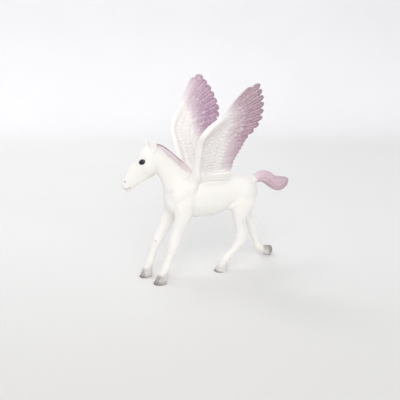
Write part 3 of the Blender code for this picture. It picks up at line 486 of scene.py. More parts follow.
def trunk_skin():
    return loft([
        ring(x * X + z * Z, width * Y, above * Z, 64, 2.15, -below * Z)
        for x, z, width, above, below in smooth_rows(TRUNK, 8)])


def head_shift(x, turn=HEAD_TURN):
    """How far the turned head has moved towards +Y at this x."""
    return np.maximum(0, TURN_X - x) * math.tan(turn)


def profile_skin(table, turn):
    """A skin between an upper and a lower outline, turned towards +Y."""
    rings = []
    for top_x, top_z, low_x, low_z, width, share in smooth_rows(table, 8):
        top = np.array((top_x, head_shift(top_x, turn), top_z))
        low = np.array((low_x, head_shift(low_x, turn), low_z))
        middle = top + (low - top) * share
        sideways = width * (math.sin(turn) * X + math.cos(turn) * Y)
        rings.append(ring(middle, sideways, top - middle, 56, 2.1, low - middle))
    return loft(rings)


def limb_skin(table):
    """A skin along a middle line with two half sizes at each point."""
    rows = smooth_rows(table, 8)
    line = rows[:, :3]
    rings = []
    for middle, direction, row in zip(line, np.gradient(line, axis=0), rows):
        stride = unit(np.cross(Y, direction))
        rings.append(ring(middle, row[4] * Y, stride * row[3], 48, 2.2))
    return loft(rings)


def ridge_skin(table):
    """A flattened skin in the middle plane, for the mane and the tail."""
    return limb_skin([(x, 0, z, height, thick) for x, z, height, thick in table])


def hoof_axes(coronet, sole):
    """Unit vectors down the hoof and along its stride."""
    axis = unit(np.subtract(sole, coronet))
    return axis, X if axis[2] < FLAT_HOOF else np.cross(Y, axis)


def hoof_skin(coronet, sole, top_radius, sole_half):
    """A hoof that widens from the coronet to the sole."""
    stride = hoof_axes(coronet, sole)[1]
    growth = ((-0.14, 0.72), (-0.05, 0.95), (0, 1), (0.12, 1.02), (1, sole_half / top_radius))
    return loft([
        ring(
            coronet + np.subtract(sole, coronet) * share, top_radius * grow * 0.92 * Y,
            stride * top_radius * grow, 48, 2.3)
        for share, grow in growth])


def muscle_skin(middle, half_sizes, pitch):
    """A swelling, as a stretched ball."""
    ball = bmesh.new()
    bmesh.ops.create_uvsphere(ball, u_segments=48, v_segments=32, radius=1)
    matrix = (
        Matrix.Translation(middle) @ Matrix.Rotation(math.radians(pitch), 4, "Y")
        @ Matrix.Diagonal((*half_sizes, 1)))
    bmesh.ops.transform(ball, matrix=matrix, verts=ball.verts)
    points = np.array([vertex.co for vertex in ball.verts])
    faces = [tuple(vertex.index for vertex in face.verts) for face in ball.faces]
    ball.free()
    return points, faces


def ear_skin(foot, tip, half_width, turn):
    """A leaf shaped ear, turned out from the head."""
    rise = np.subtract(tip, foot)
    axis = unit(rise)
    stride = unit(np.cross(Y, axis))
    across = np.cross(axis, stride)
    turn = math.radians(turn)
    broad = across * math.cos(turn) + stride * math.sin(turn)
    thin = stride * math.cos(turn) - across * math.sin(turn)
    return loft([
        ring(foot + rise * share * 1.04, broad * (half_width * wide + 0.25), thin * deep, 32, 2)
        for share, wide, deep in smooth_rows(EAR_SHAPE, 4)])


def nearest(points, line):
    """Distance to a bent line, how far along it the closest place is, its length."""
    best = np.full(len(points), np.inf)
    reach = np.zeros(len(points))
    start = 0
    for first, last in zip(line[:-1], line[1:]):
        step = last - first
        length = np.linalg.norm(step)
        t = np.clip((points - first) @ step / length ** 2, 0, 1)
        gap = np.linalg.norm(points - first - t[:, None] * step, axis=1)
        closer = gap < best
        best[closer] = gap[closer]
        reach[closer] = start + t[closer] * length
        start += length
    return best, reach, start


def vectors(items, name):
    """One vector of each mesh item, as rows."""
    values = np.empty(len(items) * 3)
    items.foreach_get(name, values)
    return values.reshape(-1, 3)


class Clay:
    """The points of a mesh, pushed in and out along its normals."""

    def __init__(self, mesh):
        self.mesh = mesh
        self.points = vectors(mesh.vertices, "co")
        self.edges = np.empty(len(mesh.edges) * 2, dtype=np.int64)
        mesh.edges.foreach_get("vertices", self.edges)
        self.links = np.bincount(self.edges, minlength=len(self.points))[:, None]
        self.refresh()

    def refresh(self):
        """Write the points to the mesh and read its normals again."""
        self.mesh.vertices.foreach_set("co", self.points.ravel())
        self.mesh.update()
        self.normals = vectors(self.mesh.vertex_normals, "vector")

    def push(self, amount):
        self.points += self.normals * amount[:, None]

    def averaged(self, values, rounds):
        """Values evened out over the mesh."""
        starts, ends = self.edges.reshape(-1, 2).T
        for _ in range(rounds):
            total = np.column_stack([
                np.bincount(starts, column[ends], len(column))
                + np.bincount(ends, column[starts], len(column)) for column in values.T])
            values = 0.5 * values + 0.5 * total / self.links
        return values

    def relief(self, rounds):
        """How far each point stands above its surroundings, below zero in hollows."""
        return np.sum((self.points - self.averaged(self.points, rounds)) * self.normals, axis=1)

    def stroke(self, line, width, height, side=0, taper=2):
        """A groove or a ridge along a line, seen from the side or in space."""
        curve = smooth_rows(line, 5)
        flat = curve.shape[1] == 2
        points = self.points[:, (0, 2)] if flat else self.points
        margin = 3.5 * width
        near = np.all(
            (points > curve.min(axis=0) - margin) & (points < curve.max(axis=0) + margin), axis=1)
        if side:
            near &= self.points[:, 1] * side > 0.4
        chosen = np.nonzero(near)[0]
        gap, reach, length = nearest(points[chosen], curve)
        amount = height * bell(gap, 0, width)
        amount *= np.minimum(ramp(reach, -0.01, taper), ramp(length - reach, -0.01, taper))
        if flat:
            amount *= np.abs(self.normals[chosen, 1]) ** 0.5
        self.points[chosen] += self.normals[chosen] * amount[:, None]

    def strokes(self, rows, side):
        """Rows of x, z are seen from one side, rows of x, y, z are mirrored to it."""
        for line, width, height in rows:
            if len(line[0]) == 2:
                self.stroke(line, width, height, side)
            else:
                self.stroke([(x, side * y, z) for x, y, z in line], width, height)

    def bump(self, middle, sizes, height):
        """A soft round swelling or hollow."""
        gap = np.linalg.norm((self.points - middle) / sizes, axis=1)
        self.push(height * bell(gap, 0, 1))

    def store(self, fields):
        """Keep numbers for each point, for the materials."""
        for name, values in fields.items():
            layer = self.mesh.attributes.new(name, "FLOAT", "POINT")
            layer.data.foreach_set("value", values.astype(np.float32))


def head_coordinates(points):
    """Along the turned head, out from its middle plane, and up."""
    x, y, height = points.T
    out = np.where(x < TURN_X + 4, (y - head_shift(x)) * math.cos(HEAD_TURN), y)
    return x - out * math.sin(HEAD_TURN), out, height


def head_point(along, out, height):
    return (
        along + out * math.sin(HEAD_TURN), head_shift(along) + out * math.cos(HEAD_TURN), height)


def head_line(spots, side):
    return np.array([head_point(along, side * out, height) for along, out, height in spots])


def sculpt_face(clay):
    """Eyes in their lids, nostrils, mouth, cheeks and hollow ears."""
    along, out, height = head_coordinates(clay.points)
    along_eye = along - EYE[0]
    above_eye = height - EYE[2]
    long_way = along_eye * math.cos(EYE_SLOPE) + above_eye * math.sin(EYE_SLOPE)
    short_way = above_eye * math.cos(EYE_SLOPE) - along_eye * math.sin(EYE_SLOPE)
    # 1 on the rim of the eye, 0 at its middle.
    reach = np.hypot(long_way / EYE_HALF[0], short_way / EYE_HALF[1])
    upper = ramp(above_eye - along_eye * 0.5, -1, 1.2)
    socket = -0.20 * bell(reach, 0.2, 1.7)
    ball = 0.42 * np.sqrt(np.clip(1 - reach ** 2, 0, 1))
    lid = (0.14 + 0.16 * upper) * bell(reach, 1.30, 0.20)
    crease = -0.10 * bell(reach, 1.68, 0.16) * upper
    rim = -0.10 * bell(reach, 1.03, 0.10)
    on_face = (along < TURN_X) & (np.abs(out) > 0.8)
    clay.push((socket + ball + lid + crease + rim) * np.abs(clay.normals[:, 1]) ** 0.5 * on_face)
    clay.refresh()
    for side in (-1, 1):
        for spots, width, height in FACE_LINES:
            clay.stroke(head_line(spots, side), width, height)
        clay.bump(head_point(NOSTRIL[0], side * NOSTRIL[1], NOSTRIL[2]), (0.75, 1, 0.55), -0.42)
        for spots, width, height, taper in MUZZLE_LINES:
            clay.stroke(head_line(spots, side), width, height, taper=taper)
    clay.refresh()
    for (foot, tip, *_), side in zip(EARS, (-1, 1)):
        foot = np.array(foot)
        hollow = np.array((-0.50, side * 0.87, 0))
        line = [
            foot + (tip - foot) * share + hollow * size
            for share, size in ((0.12, 1.1), (0.4, 1), (0.65, 0.75), (0.86, 0.4))]
        clay.stroke(line, 0.50, -0.62, taper=1.2)
    clay.refresh()


def sculpt_mane(clay):
    """Locks of the mane: returns how far each point lies above its lower edge."""
    edge = smooth_rows(MANE_EDGE, 6)
    x, y, z = clay.points.T
    gap, reach, _ = nearest(clay.points[:, (0, 2)], edge)
    above = np.where(z > np.interp(x, *edge.T), gap, -gap)
    on_crest = (x > -26.6) & (x < -4.4) & (z > 58) & (np.abs(y) < 5.2)
    ears = (x < -26) & (z > 77.8)
    locks = 0.32 * np.abs((reach / 2.9) % 1 - 0.5)
    above = np.where(on_crest & ~ears, above + locks - 0.05, AWAY)
    front = ramp(x, -26.6, -24.8) * ramp(-x, 5, 8)
    wave = (reach + 0.95 * above + 0.25 * np.sin(reach * 0.9)) * 2 * math.pi
    strands = np.sin(wave / 1.3) + 0.6 * np.sin(wave / 0.57 + 1)
    clay.push(ramp(above, -0.1, 0.5) * (0.15 + 0.07 * strands) * front)
    clay.refresh()
    return np.where(front > 0.02, above, AWAY)


def sculpt_body(clay):
    """Creases and muscles of the neck, trunk and legs."""
    for side in (-1, 1):
        clay.strokes(BODY_LINES, side)
    clay.strokes(MIDDLE_LINES, 1)
    clay.refresh()
    clay.strokes(LEFT_LEG_LINES, -1)
    clay.strokes(RIGHT_LEG_LINES, 1)
    clay.bump(KNEE_PIT, (0.50, 0.6, 0.42), -0.40)
    clay.refresh()


def sculpt_hooves(clay):
    """Coronets and walls: returns depth below the coronet, reach to the toe, paleness
    and height above the sole."""
    count = len(clay.points)
    below = np.full(count, AWAY)
    left = np.full(count, -AWAY)
    toe, pale, amount = np.zeros((3, count))
    for coronet, sole, _, half, paleness in HOOVES:
        axis, stride = hoof_axes(coronet, sole)
        offset = clay.points - coronet
        depth = offset @ axis
        near = (np.linalg.norm(offset, axis=1) < 8) & (depth > -4)
        offset = offset[near]
        depth = depth[near]
        slope = 0.16 * offset @ stride - offset[:, 2] if axis[2] < FLAT_HOOF else depth
        below[near] = slope
        left[near] = np.subtract(sole, coronet) @ axis - depth
        toe[near] = -(offset - depth[:, None] * axis) @ stride / half
        pale[near] = paleness
        amount[near] = (
            -0.20 * bell(slope, -0.1, 0.32) + 0.10 * bell(slope, -0.75, 0.45)
            + 0.035 * ramp(slope, 0.2, 0.9) * np.sin(slope * 2 * math.pi / 0.95))
    clay.push(amount)
    clay.refresh()
    return {"hoof": below, "toe": toe, "pale": pale, "sole": left}


def cut_seams(body):
    """Cut a bmesh of the body at its glued seams, each a fine groove."""
    for middle, direction, half_sizes in SEAMS:
        out = Vector(direction).normalized()
        sideways = Vector(Y)
        axes = np.array((sideways.cross(out).normalized(), sideways, out))
        local = (np.array([vertex.co for vertex in body.verts]) - middle) @ axes.T
        inside = np.all(np.abs(local) < (*half_sizes, SEAM_REACH), axis=1)
        verts = [vertex for vertex, chosen in zip(body.verts, inside) if chosen]
        faces = {face for vertex in verts for face in vertex.link_faces}
        edges = {edge for face in faces for edge in face.edges}
        verts = {vertex for face in faces for vertex in face.verts}
        cut = bmesh.ops.bisect_plane(
            body, geom=[*verts, *edges, *faces], dist=0.002, plane_co=middle, plane_no=out)
        rim = [item for item in cut["geom_cut"] if isinstance(item, bmesh.types.BMVert)]
        line = [item for item in cut["geom_cut"] if isinstance(item, bmesh.types.BMEdge)]
        for vertex, normal in [(vertex, vertex.normal.copy()) for vertex in rim]:
            vertex.co -= normal * GROOVE_DEPTH
        bmesh.ops.split_edges(body, edges=line)


def label_pieces(body):
    """Number the loose pieces of a bmesh: each vertex's number, each piece's middle."""
    body.verts.index_update()
    label = np.full(len(body.verts), -1)
    middles = []
    for first in body.verts:
        if label[first.index] >= 0:
            continue
        label[first.index] = len(middles)
        queue = [first]
        members = []
        while queue:
            vertex = queue.pop()
            members.append(vertex.co.copy())
            for edge in vertex.link_edges:
                other = edge.other_vert(vertex)
                if label[other.index] < 0:
                    label[other.index] = len(middles)
                    queue.append(other)
        middle = (np.min(members, axis=0) + np.max(members, axis=0)) / 2
        # A crumb is no piece.
        middles.append(middle if len(members) > 499 else np.full(3, np.inf))
    return label, np.array(middles)


def closed_piece(name, body, foreign):
    """The mesh of one piece of the body, capped at its seams."""
    piece = body.copy()
    extra = [vertex for vertex, chosen in zip(piece.verts, foreign) if chosen]
    bmesh.ops.delete(piece, geom=extra, context="VERTS")
    rims = [edge for edge in piece.edges if edge.is_boundary]
    caps = bmesh.ops.holes_fill(piece, edges=rims, sides=0)["faces"]
    bmesh.ops.triangulate(piece, faces=caps)
    for face in piece.faces:
        face.smooth = True
    for edge in rims:
        edge.smooth = False
    mesh = bpy.data.meshes.new(name)
    piece.to_mesh(mesh)
    piece.free()
    return mesh


def body_mesh():
    pieces = [trunk_skin(), profile_skin(NECK, 0), profile_skin(HEAD, HEAD_TURN), ridge_skin(MANE)]
    pieces += [
        limb_skin(leg) for leg in (LEFT_FORELEG, RIGHT_FORELEG, LEFT_HIND_LEG, RIGHT_HIND_LEG)]
    pieces += [hoof_skin(*hoof) for *hoof, _ in HOOVES]
    pieces += [muscle_skin(*muscle) for muscle in MUSCLES]
    pieces += [ear_skin(*ear) for ear in EARS]
    for table in (SHOULDER_STRAP, BLADE_FILLET):
        pieces += [
            limb_skin([(x, side * y, *rest) for x, y, *rest in table]) for side in (1, -1)]
    return fused("body", pieces, BODY_CELL, 26)


def show(name, mesh, material, *nodes):
    """Add a finished piece in place of its node of the frame."""
    points = np.clip(place(vectors(mesh.vertices, "co")), CAD_BOX[0], CAD_BOX[1])
    mesh.vertices.foreach_set("co", points.ravel())
    mesh.update()
    mesh.materials.append(material)
    piece = add_object(name, mesh)
    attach(piece, "root")
    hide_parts(*nodes)


def build_body(material):
    clay = Clay(body_mesh())
    sculpt_body(clay)
    above = sculpt_mane(clay)
    sculpt_face(clay)
    clay.store(sculpt_hooves(clay))
    clay.points[:, 2] = np.maximum(clay.points[:, 2], SOLE)
    clay.refresh()
    crest = np.insert(smooth_rows(MANE_TOP, 5), 1, 0, axis=1)
    lips = [nearest(clay.points, head_line(MOUTH, side))[0] for side in (-1, 1)]
    clay.store({
        "mane": above, "crest": nearest(clay.points, crest)[0], "nape": clay.points[:, 0],
        "lips": np.minimum(*lips), "relief": clay.relief(14) / 0.12,
        "hollow": clay.relief(60) / 0.5})
    body = bmesh.new()
    body.from_mesh(clay.mesh)
    cut_seams(body)
    label, middles = label_pieces(body)
    for name, middle in PIECE_MIDDLES.items():
        number = np.argmin(np.linalg.norm(middles - middle, axis=1))
        show("sculpted_" + name, closed_piece(name, body, label != number), material, name)
    body.free()


def spaced(table, count):
    """Points at equal steps along a smooth curve through a table."""
    curve = smooth_rows(table, 8)
    reach = np.cumsum(np.linalg.norm(np.diff(curve, axis=0, prepend=curve[:1]), axis=1))
    steps = np.linspace(0, reach[-1], count)
    return np.column_stack([np.interp(steps, reach, column) for column in curve.T])


def feathers():
    """Every feather as its kind, foot, tip and sizes."""
    arm = np.array(WING_ARM)
    result = []
    for kind, (tips, count, first, last, *sizes) in enumerate(FEATHER_ROWS):
        for tip, share in zip(spaced(tips, count), np.linspace(0, 1, count)):
            foot = np.array(first) + np.subtract(last, first) * share
            if kind > 1:
                foot = np.array((np.interp(foot, arm[:, 1], arm[:, 0]) + 0.6, foot))
            result.append((kind, foot, tip, *sizes))
    return result


def feather_width(t, length, half_width):
    """Share of the widest half width at this share of the length, round at the tip."""
    wide = 0.70 + 0.30 * np.sin(np.minimum(1, t / 0.62) * math.pi / 2)
    start = 1 - half_width / length
    turn = np.clip((t - start) / (1 - start), 0, 1)
    return wide * np.sqrt(np.maximum(0.03, 1 - turn ** 2))


def feather_fall(t):
    """Share of a feather's thickness that is left at this share of its length."""
    return (1 - 0.35 * t) * (0.3 + 0.7 * ramp(t, 0, 0.16))


def feather_skin(kind, foot, tip, half_width, outside, inside, bend):
    """One feather lying in the wing: x, height up the wing, outward offset."""
    foot, tip = [np.array((*spot, 0)) for spot in (foot, tip)]
    length = np.linalg.norm(tip - foot)
    axis = (tip - foot) / length
    flat = np.cross(Z, axis)
    side = flat * math.cos(FEATHER_TILT) + Z * math.sin(FEATHER_TILT)
    lift = np.cross(axis, side)
    across = np.concatenate([np.linspace(1, -1, 15), np.linspace(-1, 1, 15)[1:-1]])
    face = np.repeat((1, -1), (15, 13))
    depth = np.sqrt(np.maximum(0, 1 - across ** 4))
    rings = []
    for step in range(29):
        t = 1 - (1 - step / 28) ** 1.7
        half = half_width * feather_width(t, length, half_width)
        middle = foot + axis * length * t + flat * bend * math.sin(math.pi * t)
        # The ends of the coverts stand up from the next row.
        lip = 0.30 * bell(length * (1 - t), 0.9, 0.75) if kind > 1 else 0
        shaft = 0.20 * bell(across * half, 0, 0.26) * (1 - 0.6 * t)
        thick = np.where(face > 0, outside, inside) * (feather_fall(t) + lip) + shaft
        rings.append(
            middle + side * (half * across)[:, None] + lift * (thick * depth * face)[:, None])
    return loft(rings)


def arm_skin():
    arm = smooth_rows(WING_ARM, 6)
    line = arm * (1, 1, 0)
    return loft([
        ring(middle, np.cross(Z, unit(direction)) * half, Z * half * 0.95, 32, 2)
        for middle, direction, half in zip(line, np.gradient(line, axis=0), arm[:, 2])])


def root_skin():
    return loft([
        ring((rear + front) / 2 * X + height * Y, (rear - front) / 2 * X, thick * Z, 48, 3.2)
        for height, rear, front, thick in smooth_rows(WING_ROOT, 4)])


def wing_place(points, side):
    """From the flat wing to the body: leaning out, and curving at its foot."""
    x, height, out = points.T
    out = out - WING_CURVE * np.maximum(0, WING_CURVE_TOP - height) ** 2
    y = WING_FOOT_Y + height * math.sin(WING_LEAN) + out * math.cos(WING_LEAN)
    z = WING_FOOT_Z + height * math.cos(WING_LEAN) - out * math.sin(WING_LEAN)
    return np.column_stack((x, side * y, z))


def feather_fields(clay):
    """For each point its feather: kind, share of length, offset, tone, reach to its edge."""
    best = np.full(len(clay.points), np.inf)
    fields = np.zeros((5, len(clay.points)))
    outward = clay.normals[:, 2] > 0
    rng = np.random.default_rng(7)
    for kind, foot, tip, half_width, outside, inside, bend in feathers():
        tone = rng.uniform(-1, 1)
        length = np.linalg.norm(tip - foot)
        axis = (tip - foot) / length
        flat = np.array((-axis[1], axis[0]))
        offset = clay.points[:, :2] - foot
        t = offset @ axis / length
        near = np.nonzero((t > -0.1) & (t < 1.1) & (np.abs(offset @ flat) < 2 * half_width))[0]
        t = t[near]
        inner = np.clip(t, 0, 1)
        across = offset[near] @ flat - bend * np.sin(math.pi * inner)
        half = half_width * feather_width(inner, length, half_width)
        surface = np.where(outward[near], outside, -inside) * feather_fall(inner)
        surface += across * math.tan(FEATHER_TILT)
        gap = np.abs(clay.points[near, 2] - surface)
        gap += 4 * np.maximum(0, np.abs(across) - half)
        gap += 4 * length * np.abs(t - inner)
        closer = gap < best[near]
        chosen = near[closer]
        best[chosen] = gap[closer]
        values = np.broadcast_arrays(kind, t, across, tone, np.abs(across) / half)
        fields[:, chosen] = np.array(values)[:, closer]
    fields[0, best > 1.6] = NO_FEATHER
    return fields


def carve_wing(clay, outside):
    """The crease behind the arm, the smooth swelling foot and three arcs over it."""
    points = clay.points
    gap = nearest(points[:, :2], smooth_rows(ARM_CREASE, 5))[0]
    ends = ramp(points[:, 1], 0.5, 6) * ramp(-points[:, 1], -50, -38)
    clay.push(-0.26 * bell(gap, 0, 0.55) * np.abs(clay.normals[:, 2]) ** 0.5 * ends)
    bare = ramp(-points[:, 1], -6.8, -4.4) * np.where(outside, 1, 0.4)
    points += bare[:, None] * (clay.averaged(points, 90) - points)
    swell = ramp(-points[:, 1], -10, -0.5) * outside
    ahead = ramp(-points[:, 0], 1, 5)
    clay.push(swell * (0.35 + 0.60 * ahead) * np.abs(clay.normals[:, 2]))
    clay.refresh()
    for arc, depth in FOOT_ARCS:
        gap, reach, length = nearest(points[:, :2], smooth_rows(arc, 6))
        ends = ramp(reach, 0, 5) * ramp(length - reach, -0.01, 0.8)
        clay.push(depth * bell(gap, 0, 0.40) * ends * np.where(outside, 1, 0.5))
        clay.push(-0.4 * depth * bell(gap, 0.95, 0.45) * ends)
    clay.refresh()


def spray(points, tone, rows, ragged):
    """How much paint each point has on one face of the wing."""
    heights, begin, full = np.array(rows).T
    begin, full = [np.interp(points[:, 1], heights, limit) for limit in (begin, full)]
    return np.clip((points[:, 0] + ragged * tone - begin) / (full - begin), 0, 1)


def build_wings(material):
    pieces = [*(feather_skin(*feather) for feather in feathers()), arm_skin(), root_skin()]
    clay = Clay(fused("wing", pieces, WING_CELL, 3))
    kind, along, across, tone, edge = feather_fields(clay)
    outside = clay.normals[:, 2] > 0
    carve_wing(clay, outside)
    points = clay.points
    height = points[:, 1]
    outer = clay.averaged(outside[:, None].astype(float), 4)[:, 0]
    shift = tone * (kind < 5)
    paint = outer * spray(points, shift, OUTER_PAINT, 1.2)
    paint += (1 - outer) * spray(points, shift, INNER_PAINT, 1)
    # A soft shade is painted along the crease behind the arm.
    crease = smooth_rows(ARM_CREASE[::-1], 5)
    behind = points[:, 0] - np.interp(height, crease[:, 1], crease[:, 0]) + 1
    painted_arm_shade = bell(behind, 0, np.where(behind < 0, 2.4, 3.6)) * outer
    clay.store({
        "paint": paint * ramp(height, 3.4, 5.2), "kind": kind, "along": along,
        "across": across, "tone": tone, "edge": edge, "rise": height / WING_HEIGHT,
        "outer": outer, "painted_arm_shade": painted_arm_shade * ramp(height, 20, 30) * ramp(-height, -42, -35)})
    for name, rounds in (("relief", 8), ("hollow", 40)):
        relief = clay.relief(rounds)
        clay.store({name: np.clip(relief / (2 * relief.std()), -1.5, 1.5)})
    for name, side in (("wing_left", -1), ("wing_right", 1)):
        mesh = clay.mesh.copy()
        mesh.name = name
        mesh.vertices.foreach_set("co", wing_place(points, side).ravel())
        if side < 0:
            mesh.flip_normals()
        mesh.update()
        mesh.shade_smooth()
        show("sculpted_" + name, mesh, material, name)
    bpy.data.meshes.remove(clay.mesh)


def build_tail(material):
    clay = Clay(fused("tail", [ridge_skin(TAIL)], TAIL_CELL, 4))
    rows = smooth_rows(TAIL, 6)
    line = rows[:, :2]
    x, y, z = clay.points.T
    gap, reach, length = nearest(clay.points[:, (0, 2)], line)
    place_x = np.interp(reach, np.linspace(0, length, len(line)), line[:, 0])
    half, thick = [np.interp(place_x, line[:, 0], rows[:, column]) for column in (2, 3)]
    rise = np.where(z > np.interp(x, *line.T), gap, -gap) / half
    around = np.arctan2(rise, np.abs(y) / thick)
    wave = around * 4.6 + 0.55 * np.sin(reach * 0.36 + 0.8)
    locks = np.sin(wave) + 0.45 * np.sin(2.3 * wave + 1.7) + 0.25 * np.sin(5.1 * wave)
    clay.push(0.22 * locks * ramp(reach, 1.5, 6) * ramp(length - reach, 0, 3))
    clay.refresh()
    clay.store({
        "around": around, "along": reach / length, "rise": rise,
        "relief": clay.relief(10) / 0.08, "hollow": clay.relief(40) / 0.3})
    clay.mesh.shade_smooth()
    show("sculpted_tail", clay.mesh, material, "tail")


def linear(*colour):
    """An sRGB colour of 0 to 255 as the renderer's linear values."""
    shares = [value / 255 for value in colour]
    return (*(
        share / 12.92 if share <= 0.04045 else ((share + 0.055) / 1.055) ** 2.4
        for share in shares), 1)


class Nodes:
    """Short ways to add the nodes of one tree."""

    def __init__(self, tree):
        self.tree = tree

    def node(self, kind, *values, **settings):
        """A node with its settings, its first inputs linked or set in their order."""
        node = self.tree.nodes.new("ShaderNode" + kind)
        for name, setting in settings.items():
            setattr(node, name, setting)
        for value, socket in zip(values, node.inputs):
            self.link(value, socket)
        return node

    def link(self, value, socket):
        if isinstance(value, bpy.types.NodeSocket):
            self.tree.links.new(value, socket)
        else:
            socket.default_value = value

    def math(self, operation, *values):
        return self.node("Math", *values, operation=operation).outputs[0]


class Paint(Nodes):
    """The nodes of one material.  A colour is a socket, or sRGB values of 0 to 255."""

    def __init__(self, name):
        self.material = bpy.data.materials.new(name)
        self.material.use_nodes = True
        super().__init__(self.material.node_tree)
        self.shader = self.tree.nodes["Principled BSDF"]
        self.coordinates = self.node("TexCoord").outputs["Object"]

    def field(self, name):
        return self.node("Attribute", attribute_name=name).outputs["Fac"]

    def times(self, value, *others):
        for other in others:
            value = self.math("MULTIPLY", value, other)
        return value

    def plus(self, first, second):
        return self.math("ADD", first, second)

    def scaled(self, value, factor, start=0):
        return self.math("MULTIPLY_ADD", value, factor, start)

    def ramp(self, value, low, high, end=1, start=0):
        """Smooth step from the start at low to the end at high."""
        node = self.node(
            "MapRange", value, low, high, start, end, interpolation_type="SMOOTHSTEP")
        return node.outputs["Result"]

    def mix(self, share, *colours):
        """From the first colour to the second."""
        node = self.node("Mix", share, data_type="RGBA")
        for colour, socket in zip(colours, node.inputs[6:8]):
            self.link(linear(*colour) if isinstance(colour, tuple) else colour, socket)
        return node.outputs[2]

    def tint(self, colour, *coats):
        """A colour painted over by others, each as its value goes from low to high."""
        for other, value, *limits in coats:
            colour = self.mix(self.ramp(value, *limits), colour, other)
        return colour

    def noise(self, scale, detail=2, stretch=None):
        vector = self.coordinates
        if stretch:
            vector = self.node("Mapping", vector, (0, 0, 0), (0, 0, 0), stretch).outputs[0]
        node = self.node("TexNoise", vector)
        node.inputs["Scale"].default_value = scale
        node.inputs["Detail"].default_value = detail
        return node.outputs["Fac"]

    def within(self, middle, sizes, turn, soft):
        """1 inside a turned ball with the given half sizes, in the sculpt's frame."""
        scale = tuple(size * MM for size in sizes)
        mapping = self.node(
            "Mapping", self.coordinates, tuple(place(middle)), turn, scale,
            vector_type="TEXTURE")
        length = self.node("VectorMath", mapping.outputs[0], operation="LENGTH")
        return self.ramp(length.outputs["Value"], 1 + soft, 1 - soft)

    def reach(self, direction):
        """How far along a direction from the middle of the frame."""
        dot = self.node(
            "VectorMath", self.coordinates, tuple(direction), operation="DOT_PRODUCT")
        return dot.outputs["Value"]

    def finish(self, colour, roughness, height, distance):
        self.link(colour, self.shader.inputs["Base Color"])
        self.link(roughness, self.shader.inputs["Roughness"])
        bump = self.node("Bump")
        bump.inputs["Strength"].default_value = 0.6
        bump.inputs["Distance"].default_value = distance
        self.link(height, bump.inputs["Height"])
        self.link(bump.outputs["Normal"], self.shader.inputs["Normal"])
        return self.material


def white_plastic(paint, hollow_darkening):
    """Off-white satin paint, a darker warm grey in the hollows."""
    base = paint.mix(paint.noise(90, 3), (244, 242, 238), (238, 236, 232))
    return paint.tint(
        base, ((244, 238, 232), paint.noise(60, 1), 0.45, 0.75, 0.35),
        ((205, 198, 189), paint.field("relief"), -0.15, -1.3, hollow_darkening),
        ((220, 213, 204), paint.field("hollow"), -0.2, -1.2, 0.3))


def mane_paint(paint, colour, relief, fine, ragged):
    """A dark line along the top of the mane, pink below it, and painted grey shade towards its end
    at the withers.
    """
    nape = paint.field("nape")
    top = paint.plus(paint.field("crest"), ragged)
    mane = paint.plus(paint.field("mane"), ragged)
    # The grey towards the withers is painted shade.
    band = paint.tint(
        (227, 215, 218), ((217, 202, 207), fine, 0.35, 0.7),
        ((238, 229, 231), relief, 0.2, 1.2, 0.6), ((190, 170, 178), relief, -0.1, -1.2, 0.6),
        ((152, 116, 132), top, 1.55, 0.8, 0.95), ((234, 228, 224), nape, -13, -8, 0.8),
        ((243, 236, 237), paint.noise(1000), 0.6, 0.68, 0.5))
    cover = paint.times(paint.ramp(mane, -0.25, 0.55, 0.97), paint.ramp(nape, -5, -8.5))
    return paint.mix(cover, colour, band)


def hoof_paint(paint, colour, relief, fine, ragged):
    """Grey brushed over white, darkest at the toe and the sole."""
    depth = paint.field("hoof")
    hoof = paint.plus(depth, ragged)
    brushed = paint.scaled(paint.field("toe"), 0.55, 0.30)
    brushed = paint.plus(brushed, paint.ramp(depth, 2.2, 5.2, 0.50))
    brushed = paint.plus(brushed, paint.ramp(fine, 0.3, 0.7, 0.15, -0.15))
    brushed = paint.scaled(paint.field("pale"), -0.55, brushed)
    shade = paint.tint(
        (216, 212, 207), ((150, 144, 139), brushed, 0, 0.9),
        ((228, 223, 218), relief, 0.2, 1.4, 0.5), ((138, 131, 126), relief, -0.1, -1.2, 0.6))
    colour = paint.tint(
        colour, ((206, 202, 197), hoof, -4, 0.2, 0.28), (shade, hoof, -1.1, 1.2))
    edge = paint.ramp(paint.field("sole"), 1.35, 0.55, 0.70)
    return paint.mix(paint.times(paint.ramp(hoof, 0.6, 1.6), edge), colour, (132, 126, 122))


